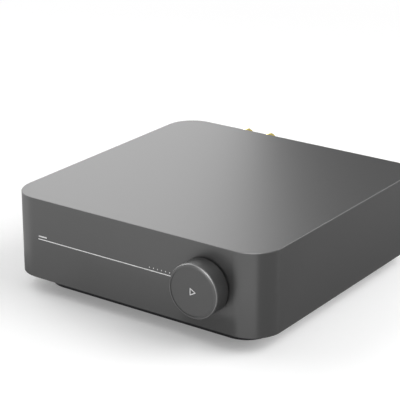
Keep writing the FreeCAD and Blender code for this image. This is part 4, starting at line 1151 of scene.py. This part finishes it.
@dataclass
class RearSockets(SubAssembly):
    """The rear panel's sockets and the contacts inside them.

    Attributes:
        contacts: The contacts of the display, storage and network sockets.
    """

    contacts: tuple[ContactRow, ...] = (
        ContactRow("display_contacts", "hdmi_socket", count=10, pitch=1.0, setback=0.35,
                   level=-0.9, strip=BentStrip(length=6.5 * MM, rise=0.0, width=0.55 * MM,
                                               thickness=0.14 * MM)),
        ContactRow("storage_contacts", "usb_socket", count=4, pitch=2.3, setback=0.4,
                   level=-0.075, strip=BentStrip(length=8.0 * MM, rise=0.0, width=1.1 * MM,
                                                 thickness=0.2 * MM)),
        ContactRow("network_contacts", "network_socket", count=8, pitch=1.02, setback=1.2,
                   level=4.1, strip=BentStrip(length=9.0 * MM, rise=-3.4 * MM,
                                              width=0.45 * MM, thickness=0.3 * MM, bend=0.2)),
    )
    finishes: ClassVar[dict[str, Finish]] = {
        "rear_panel": BLACK_PLASTIC, "jack_housings": BLACK_PLASTIC, "jack_barrels": GOLD,
        "jack_contacts": GOLD, "jack_insert_white": WHITE_PLASTIC,
        "jack_insert_red": RED_PLASTIC, "jack_insert_black": GLOSS_BLACK, "hdmi_socket": NICKEL,
        "usb_socket": NICKEL, "port_tongues": GLOSS_BLACK, "network_socket": BLACK_PLASTIC,
        "optical_socket": GLOSS_BLACK, "optical_shutter": BLACK_PLASTIC,
        "mains_inlet": BLACK_PLASTIC, "inlet_pins": NICKEL,
    }

    def build(self) -> list[bpy.types.Object]:
        """Makes the contacts."""
        return [contacts.build() for contacts in self.contacts]


@dataclass(frozen=True)
class Chip:
    """A flat chip with legs.

    Attributes:
        x: The X of its middle.
        y: The Y of its middle.
        width: Its width.
        depth: Its depth.
        all_round: Whether its legs are on all four sides, rather than on two.
    """

    x: float
    y: float
    width: float
    depth: float
    all_round: bool = False

    def spots(self, pitch: float, bare: float, level: float) -> list[Spot]:
        """Where its legs leave it.

        Args:
            pitch: The distance between legs.
            bare: How much of a side has no legs.
            level: The legs' height.

        Returns:
            A spot for each leg, facing outwards.
        """
        sides = [(0.0, -1.0), (0.0, 1.0)] + [(-1.0, 0.0), (1.0, 0.0)] * self.all_round
        spots: list[Spot] = []
        for a, b in sides:
            long, across = (self.depth, self.width) if a else (self.width, self.depth)
            count = int((long - bare) / pitch)
            start = -pitch * (count - 1) / 2
            first = (self.x + a * across / 2 + abs(b) * start,
                     self.y + b * across / 2 + abs(a) * start, level)
            spots += row(first, (abs(b) * pitch, abs(a) * pitch, 0.0), count, (a, b, 0.0))
        return spots


@dataclass(frozen=True)
class CapacitorRow:
    """Upright capacitors of one size.

    Attributes:
        radius: Their radius.
        height: Their height.
        places: The X and Y of their middles.
    """

    radius: float
    height: float
    places: tuple[tuple[float, float], ...]


@dataclass
class Electronics(SubAssembly):
    """The boards and what stands on them.

    Attributes:
        board_top: The height of the lower boards' upper face.
        choke: The ring choke's middle.
        choke_level: The height of the choke's middle above the board.
        choke_winding: The wire on the choke.
        coils: The output coils' middles.
        coils_back: How far back they stand.
        coil_level: The height of their winding's foot above the board.
        coil_winding: The wire on each coil.
        chips: The flat chips.
        leg: A chip's leg.
        leg_pitch: The distance between legs.
        leg_margin: How much of a chip's side has no legs.
        leg_level: How far above the board the legs leave a chip.
        capacitors: The upright capacitors.
        sleeve: How much of a capacitor's radius its sleeve covers at the top.
    """

    board_top: float = 21.6
    choke: tuple[float, float] = (48.0, -38.9)
    choke_level: float = 6.6
    choke_winding: RingWinding = RingWinding(turns=34, middle=8.25 * MM, across=6.4 * MM,
                                             height=12.6 * MM, corner=2.4 * MM, wire=0.6 * MM)
    coils: tuple[float, ...] = (-66.5, -55.4, -44.3, -33.2)
    coils_back: float = 63.0
    coil_level: float = 2.35
    coil_winding: DrumWinding = DrumWinding(turns=6.5, radius=4.75 * MM, height=6.3 * MM,
                                            wire=0.48 * MM)
    chips: tuple[Chip, ...] = (
        Chip(14.0, 34.0, 20.0, 20.0, all_round=True), Chip(14.0, 54.0, 12.0, 9.0),
        Chip(-12.0, 34.0, 9.0, 9.0, all_round=True), Chip(-12.0, 50.0, 11.0, 8.0),
        Chip(38.0, 60.0, 10.0, 8.0),
    )
    leg: BentStrip = BentStrip(length=1.1 * MM, rise=-0.62 * MM, width=0.4 * MM, bend=0.6)
    leg_pitch: float = 0.8
    leg_margin: float = 1.2
    leg_level: float = 0.7
    capacitors: tuple[CapacitorRow, ...] = (
        CapacitorRow(radius=9.0, height=30.0, places=((48.0, -59.9), (28.0, -59.9))),
        CapacitorRow(radius=6.3, height=22.0,
                     places=((-44.0, -53.4), (-44.0, -39.9), (-44.0, -26.4))),
    )
    sleeve: float = 1.1
    finishes: ClassVar[dict[str, Finish]] = {
        "main_board": SOLDER_MASK, "power_board": SOLDER_MASK, "analogue_board": SOLDER_MASK,
        "board_spacers": BRASS, "board_screws": BRIGHT_STEEL, "heat_sinks": PLAIN_ALUMINIUM,
        "bulk_capacitors": SLEEVE, "power_transformer": FERRITE, "wound_parts": FERRITE,
        "film_capacitors": FILM_BOX, "board_chips": GLOSS_BLACK,
        "wireless_module": BRIGHT_STEEL, "antennas": GLOSS_BLACK, "board_headers": HEADER,
        "ribbon_cable": RIBBON, "power_leads": WIRE_SLEEVE,
    }

    def build(self) -> list[bpy.types.Object]:
        """Makes the windings, the chips' legs and the capacitors' tops.

        Returns:
            The pieces.
        """
        choke = [Spot((*self.choke, self.board_top + self.choke_level))]
        coils = [Spot((x, self.coils_back, self.board_top + self.coil_level))
                 for x in self.coils]
        legs = [spot for chip in self.chips
                for spot in chip.spots(self.leg_pitch, self.leg_margin,
                                       self.board_top + self.leg_level)]
        tops = [Spot((*place, self.board_top + size.height), scale=size.radius - self.sleeve)
                for size in self.capacitors for place in size.places]
        return [
            self.choke_winding.grow("choke_winding", ENAMELLED_WIRE, choke, Slot.WINDINGS),
            self.coil_winding.grow("coil_windings", ENAMELLED_WIRE, coils, Slot.WINDINGS),
            self.leg.grow("chip_legs", BRIGHT_STEEL, legs, Slot.LEGS),
            ScoredTop().grow("capacitor_tops", PLAIN_ALUMINIUM, tops, Slot.TOPS),
        ]


# Stage


@dataclass(frozen=True)
class Softbox:
    """A rectangular lamp that the camera doesn't see.

    Attributes:
        name: Its name.
        place: Where its middle stands.
        size: Its width and height.
        radiance: How bright its face is, where 1 is white.
        aim: The point that it faces.
        diffuse: Whether it lights surfaces.
        glossy: Whether it shows in their gloss.
    """

    name: str
    place: Point
    size: tuple[float, float]
    radiance: float
    aim: Point
    diffuse: bool = True
    glossy: bool = True

    def build(self) -> None:
        """Makes the lamp."""
        width, height = self.size
        data = bpy.data.lights.new(self.name, "AREA")
        data.shape = "RECTANGLE"
        data.size, data.size_y = width, height
        data.energy = self.radiance * math.pi * width * height
        lamp = bpy.data.objects.new(self.name, data)
        lamp.location = self.place
        way = Vector(self.aim) - Vector(self.place)
        lamp.rotation_euler = way.to_track_quat("-Z", "Y").to_euler()
        lamp.visible_camera = False
        lamp.visible_diffuse, lamp.visible_glossy = self.diffuse, self.glossy
        bpy.context.scene.collection.objects.link(lamp)


@dataclass
class Studio:
    """Floor, world, lamps and the camera at the photograph's view.

    Attributes:
        azimuth: Camera angle round the object from the front, in degrees.
        elevation: Camera angle above the floor, in degrees.
        distance: From the casing's middle to the camera, before its shift sideways.
        offset: The camera's shift sideways and up in its own plane.
        target: The casing's middle.
        lens: Focal length for a sensor of the width that follows.
        sensor: The sensor's width.
        clip: How near the camera sees.
        floor_reach: How far the floor runs each way.
        floor_shade: The floor's colour to light that bounces off it.
        floor_seen: The floor's colour in plain sight.
        floor_lift: The glow that whitens it in plain sight.
        floor_roughness: Its roughness.
        floor_gloss: The strength of its gloss.
        fade_span: The distances from the middle between which it fades to white.
        ambient: The world's strength to light that isn't in plain sight.
        screen_distance: How far behind the middle the screen, a tall softbox, stands.
        screen_edge: How far right of the middle its right edge is.
        screen_size: Its width and height.
        screen_radiance: How bright it is.
        lamps: The other softboxes.
    """

    azimuth: float = 35.3
    elevation: float = 20.48
    distance: float = 1.0140
    offset: tuple[float, float] = (-0.01253, 0.01155)
    target: Point = (0.0, 0.0, 0.0365)
    lens: float = 141.67
    sensor: float = 36.0
    clip: float = 0.01
    floor_reach: float = 6.0
    floor_shade: float = 0.86
    floor_seen: float = 0.80
    floor_lift: float = 0.22
    floor_roughness: float = 0.9
    floor_gloss: float = 0.1
    fade_span: tuple[float, float] = (0.35, 0.8)
    ambient: float = 0.36
    screen_distance: float = 0.45
    screen_edge: float = 0.043
    screen_size: tuple[float, float] = (0.9, 0.7)
    screen_radiance: float = 3.9
    lamps: tuple[Softbox, ...] = (
        Softbox("top_softbox", place=(0.42, -0.70, 0.95), size=(1.0, 0.6), radiance=7.0,
                aim=(0.05, -0.09, 0.04), diffuse=False),
        Softbox("right_softbox", place=(0.95, 0.40, 0.76), size=(1.15, 1.15), radiance=4.1,
                aim=(0.0, 0.0, 0.03), glossy=False),
        Softbox("low_left_softbox", place=(-0.90, -0.10, 0.75), size=(1.15, 1.15),
                radiance=1.85, aim=(0.0, 0.0, 0.03), glossy=False),
    )

    def level_axes(self) -> tuple[Vector, Vector]:
        """The level directions of the camera's view.

        Returns:
            The direction that runs away from the camera, and the one to its right.
        """
        turn = math.radians(self.azimuth)
        return (Vector((-math.sin(turn), math.cos(turn), 0.0)),
                Vector((math.cos(turn), math.sin(turn), 0.0)))

    def camera(self) -> None:
        """Sets up the camera."""
        away, right = self.level_axes()
        rise = math.radians(self.elevation)
        back = -away * math.cos(rise) + Vector((0.0, 0.0, math.sin(rise)))
        data = bpy.data.cameras.new("camera")
        data.lens, data.sensor_width, data.clip_start = self.lens, self.sensor, self.clip
        camera = bpy.data.objects.new("camera", data)
        shift = right * self.offset[0] + back.cross(right) * self.offset[1]
        camera.location = Vector(self.target) + back * self.distance + shift
        camera.rotation_euler = (-back).to_track_quat("-Z", "Y").to_euler()
        bpy.context.scene.collection.objects.link(camera)
        bpy.context.scene.camera = camera

    def floor(self) -> None:
        """A wide pale floor: white in plain sight, but for the shadow, and clear from below."""
        tree = MaterialTree("studio_floor")
        seen = tree.plain_sight()
        tree.feed(tree.shader, {
            "Base Color": tree.ranged(seen, to_min=self.floor_shade, to_max=self.floor_seen),
            "Roughness": self.floor_roughness, "Specular IOR Level": self.floor_gloss,
            "Emission Strength": tree.math("MULTIPLY", seen, self.floor_lift),
            "Emission Color": WHITE})
        place = tree.node("ShaderNodeTexCoord", {}).outputs["Object"]
        span = tree.node("ShaderNodeVectorMath", {0: place}, operation="LENGTH").outputs["Value"]
        fade = tree.ranged(span, from_min=self.fade_span[0], from_max=self.fade_span[1])
        far = tree.out("ShaderNodeMixShader", {
            0: tree.math("MULTIPLY", fade, seen), 1: tree.shader.outputs[0],
            2: tree.out("ShaderNodeEmission", {})})
        behind = tree.node("ShaderNodeNewGeometry", {}).outputs["Backfacing"]
        clear = tree.out("ShaderNodeBsdfTransparent", {})
        surface = tree.out("ShaderNodeMixShader", {0: behind, 1: far, 2: clear})
        tree.feed(tree.tree.nodes["Material Output"], {"Surface": surface})
        corners = [(x * self.floor_reach, y * self.floor_reach, 0.0)
                   for x, y in ((-1, -1), (1, -1), (1, 1), (-1, 1))]
        set_out("floor", corners, [(0, 1, 2, 3)], tree.material)

    def world(self) -> None:
        """A white backdrop in plain sight, and softer light on the object."""
        world = bpy.data.worlds.new("studio")
        bpy.context.scene.world = world
        world.use_nodes = True
        tree = Tree(world.node_tree)
        tree.feed(world.node_tree.nodes["Background"], {
            "Strength": tree.ranged(tree.plain_sight(), to_min=self.ambient, to_max=1.0),
            "Color": WHITE})

    def screen(self) -> Softbox:
        """The tall softbox behind the casing, whose right edge fades across the top.

        Returns:
            The softbox.
        """
        away, right = self.level_axes()
        width, height = self.screen_size
        side = right * (self.screen_edge - width / 2)
        place = away * self.screen_distance + side + Vector((0.0, 0.0, height / 2))
        return Softbox("left_softbox", tuple(place), self.screen_size, self.screen_radiance,
                       tuple(place - away), diffuse=False)

    def build(self) -> None:
        """Makes the whole stage."""
        self.camera()
        self.floor()
        Cards().build(*self.level_axes())
        self.world()
        for lamp in (self.screen(), *self.lamps):
            lamp.build()
        bpy.context.scene.view_settings.view_transform = "Standard"


@dataclass
class Cards:
    """Standing cards that only reflections see, which give the metal something to mirror.

    A card's shade is how bright it is at its top and at its bottom, where 1 is white. The
    points of a plan hold X, Y and the shade there. Those of low_plan leave out Y, and those
    of side_plan and corner_end leave out X, which follow from near_reach.

    Attributes:
        corner: The radius of the casing's corners.
        corner_steps: The straight lengths that a card takes round a corner.
        near_reach: From the middle of the corner's curve to the near cards.
        far_reach: From there to the far cards.
        tall: The height of the cards that cover the whole side of the casing.
        low: The height of those that cover its lower half.
        under_knob: The height of the card in front of the knob.
        wide_start: The X of the left end of the card along the front.
        wide_gap: How far it ends before the card round the corner.
        wide_shades: Its shade at the left and at the right.
        front_turn: The directions between which the far card goes round the corner, in
            degrees from the front, and so for the other turns.
        front_shade: Its shade.
        low_plan: The X and the shade at points of the low card left of the knob.
        low_shade: Its shade at the knob.
        knob_margins: How far the card in front of the knob runs past it at each side.
        knob_shade: Its shade.
        low_corner_turn: The turn of the low card round the corner.
        low_corner_shade: Its shade.
        corner_turn: The turn of the near card round the corner's right half.
        corner_shade: Its shade there.
        corner_end: Its last point.
        side_plan: The points of the card along the right side.
        left_turn: The turn of the card round the left corner.
        left_shade: Its shade.
        edge_plan: The points of the bright card that the top's right edge mirrors.
        edge_height: Its height.
        back_start: How far right of the middle the dark card starts, behind the casing.
        back_end: How far right it ends.
        back_distance: How far away it stands.
        back_height: Its height.
        back_shade: Its shade.
    """

    corner: float = 0.020
    corner_steps: int = 12
    near_reach: float = 0.028
    far_reach: float = 0.065
    tall: float = 0.07
    low: float = 0.033
    under_knob: float = 0.018
    wide_start: float = -0.16
    wide_gap: float = 0.001
    wide_shades: tuple[Shade, Shade] = ((1.26, 0.98), (1.30, 1.02))
    front_turn: tuple[float, float] = (-12.0, 45.0)
    front_shade: Shade = (1.18, 1.08)
    low_plan: tuple[Point, ...] = ((-0.085, 0.97, 0.84), (-0.04, 0.96, 0.65))
    low_shade: Shade = (0.96, 0.63)
    knob_margins: tuple[float, float] = (0.004, 0.002)
    knob_shade: Shade = (0.52, 0.46)
    low_corner_turn: tuple[float, float] = (2.0, 43.0)
    low_corner_shade: Shade = (1.06, 0.82)
    corner_turn: tuple[float, float] = (44.1, 90.0)
    corner_shade: Shade = (0.60, 0.50)
    corner_end: Point = (-0.073, 0.66, 0.54)
    side_plan: tuple[Point, ...] = (
        (-0.072, 0.73, 0.56), (0.0, 0.91, 0.60), (0.15, 1.10, 0.74))
    left_turn: tuple[float, float] = (46.5, 127.0)
    left_shade: Shade = (1.85, 1.7)
    edge_plan: tuple[Post, ...] = ((0.134, 0.442, 5.0, 0.7), (0.407, 0.318, 5.0, 0.7))
    edge_height: float = 0.5
    back_start: float = 0.033
    back_end: float = 1.2
    back_distance: float = 0.47
    back_height: float = 0.7
    back_shade: Shade = (0.63, 0.63)

    def card(self, name: str, plan: Sequence[Post], height: float) -> None:
        """Makes a card.

        Args:
            name: Its name.
            plan: The points of its plan, each with X, Y and its shade there.
            height: Its height.
        """
        vertices = [(x, y, z) for x, y, _, _ in plan for z in (0.0, height)]
        faces = [(2 * k, 2 * k + 2, 2 * k + 3, 2 * k + 1) for k in range(len(plan) - 1)]
        card = set_out(name, vertices, faces, self.material())
        levels = [level for _, _, top, bottom in plan for level in (bottom, top)]
        shades = card.data.attributes.new("level", "FLOAT", "POINT")
        shades.data.foreach_set("value", levels)
        card.visible_camera = card.visible_diffuse = card.visible_shadow = False

    def material(self) -> bpy.types.Material:
        """The cards' material, which glows as its mesh says.

        Returns:
            The material.
        """
        if known := bpy.data.materials.get("studio_card"):
            return known
        tree = MaterialTree("studio_card")
        level = tree.node("ShaderNodeAttribute", {}, attribute_name="level").outputs["Fac"]
        tree.feed(tree.shader, {"Base Color": BLACK, "Specular IOR Level": 0.0,
                                "Emission Color": WHITE, "Emission Strength": level})
        return tree.material

    def bend(self, turn: tuple[float, float], reach: float, shade: Shade) -> list[Post]:
        """The part of a plan that goes round the front right corner.

        Args:
            turn: The directions it starts and ends at, in degrees from the front.
            reach: Its distance from the middle of the corner's curve.
            shade: Its shade.

        Returns:
            The plan's points.
        """
        low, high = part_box("shell")
        x, y = high.x - self.corner, low.y + self.corner
        first, last = (math.radians(angle) for angle in turn)
        turns = [first + (last - first) * k / self.corner_steps
                 for k in range(self.corner_steps + 1)]
        return [(x + reach * math.sin(t), y - reach * math.cos(t), *shade) for t in turns]

    def build(self, away: Vector, right: Vector) -> None:
        """Makes the cards that shade the front, the right corner and side, and the back.

        Args:
            away: The level direction that runs away from the camera.
            right: The level direction that runs to its right.
        """
        shell_low, shell_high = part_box("shell")
        front = shell_low.y + self.corner - self.near_reach
        side = shell_high.x - self.corner + self.near_reach
        curve = self.bend(self.front_turn, self.far_reach, self.front_shade)
        ends = (self.wide_start, curve[0][0] - self.wide_gap)
        wide = [(x, curve[0][1], *shade) for x, shade in zip(ends, self.wide_shades)]
        knob = (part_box("knob_cap")[0].x - self.knob_margins[0],
                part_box("knob_cap")[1].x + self.knob_margins[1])
        low = [(x, front, *shade) for x, *shade in (*self.low_plan, (knob[0], *self.low_shade))]
        corner = self.bend(self.corner_turn, self.near_reach, self.corner_shade)
        left = self.bend(self.left_turn, self.far_reach, self.left_shade)
        back = [(*(away * self.back_distance + right * reach)[:2], *self.back_shade)
                for reach in (self.back_start, self.back_end)]
        for name, plan, height in (
                ("wide_card", wide, self.tall),
                ("front_card", curve, self.tall),
                ("low_card", low, self.low),
                ("knob_card", [(x, front, *self.knob_shade) for x in knob], self.under_knob),
                ("low_corner_card", self.bend(self.low_corner_turn, self.near_reach,
                                              self.low_corner_shade), self.low),
                ("corner_card", corner + [(side, *self.corner_end)], self.tall),
                ("side_card", [(side, *point) for point in self.side_plan], self.tall),
                ("left_card", [(-x, *rest) for x, *rest in left], self.tall),
                ("edge_card", self.edge_plan, self.edge_height),
                ("back_card", back, self.back_height)):
            self.card(name, plan, height)


def main() -> None:
    """Builds the stage and the object's pieces in order."""
    logging.basicConfig(level=logging.INFO, format="%(name)s: %(message)s")
    Studio().build()
    for part in (Casing(), Front(), VolumeKnob(), Terminals(), RearSockets(), Electronics()):
        part.dress()
        name = type(part).__name__
        log.info("%s: finishes on %d nodes", name, len(part.finishes))
        for piece in part.build():
            log.info("%s: %s with %d faces", name, piece.name, len(piece.data.polygons))


if __name__ == "__main__":
    main()
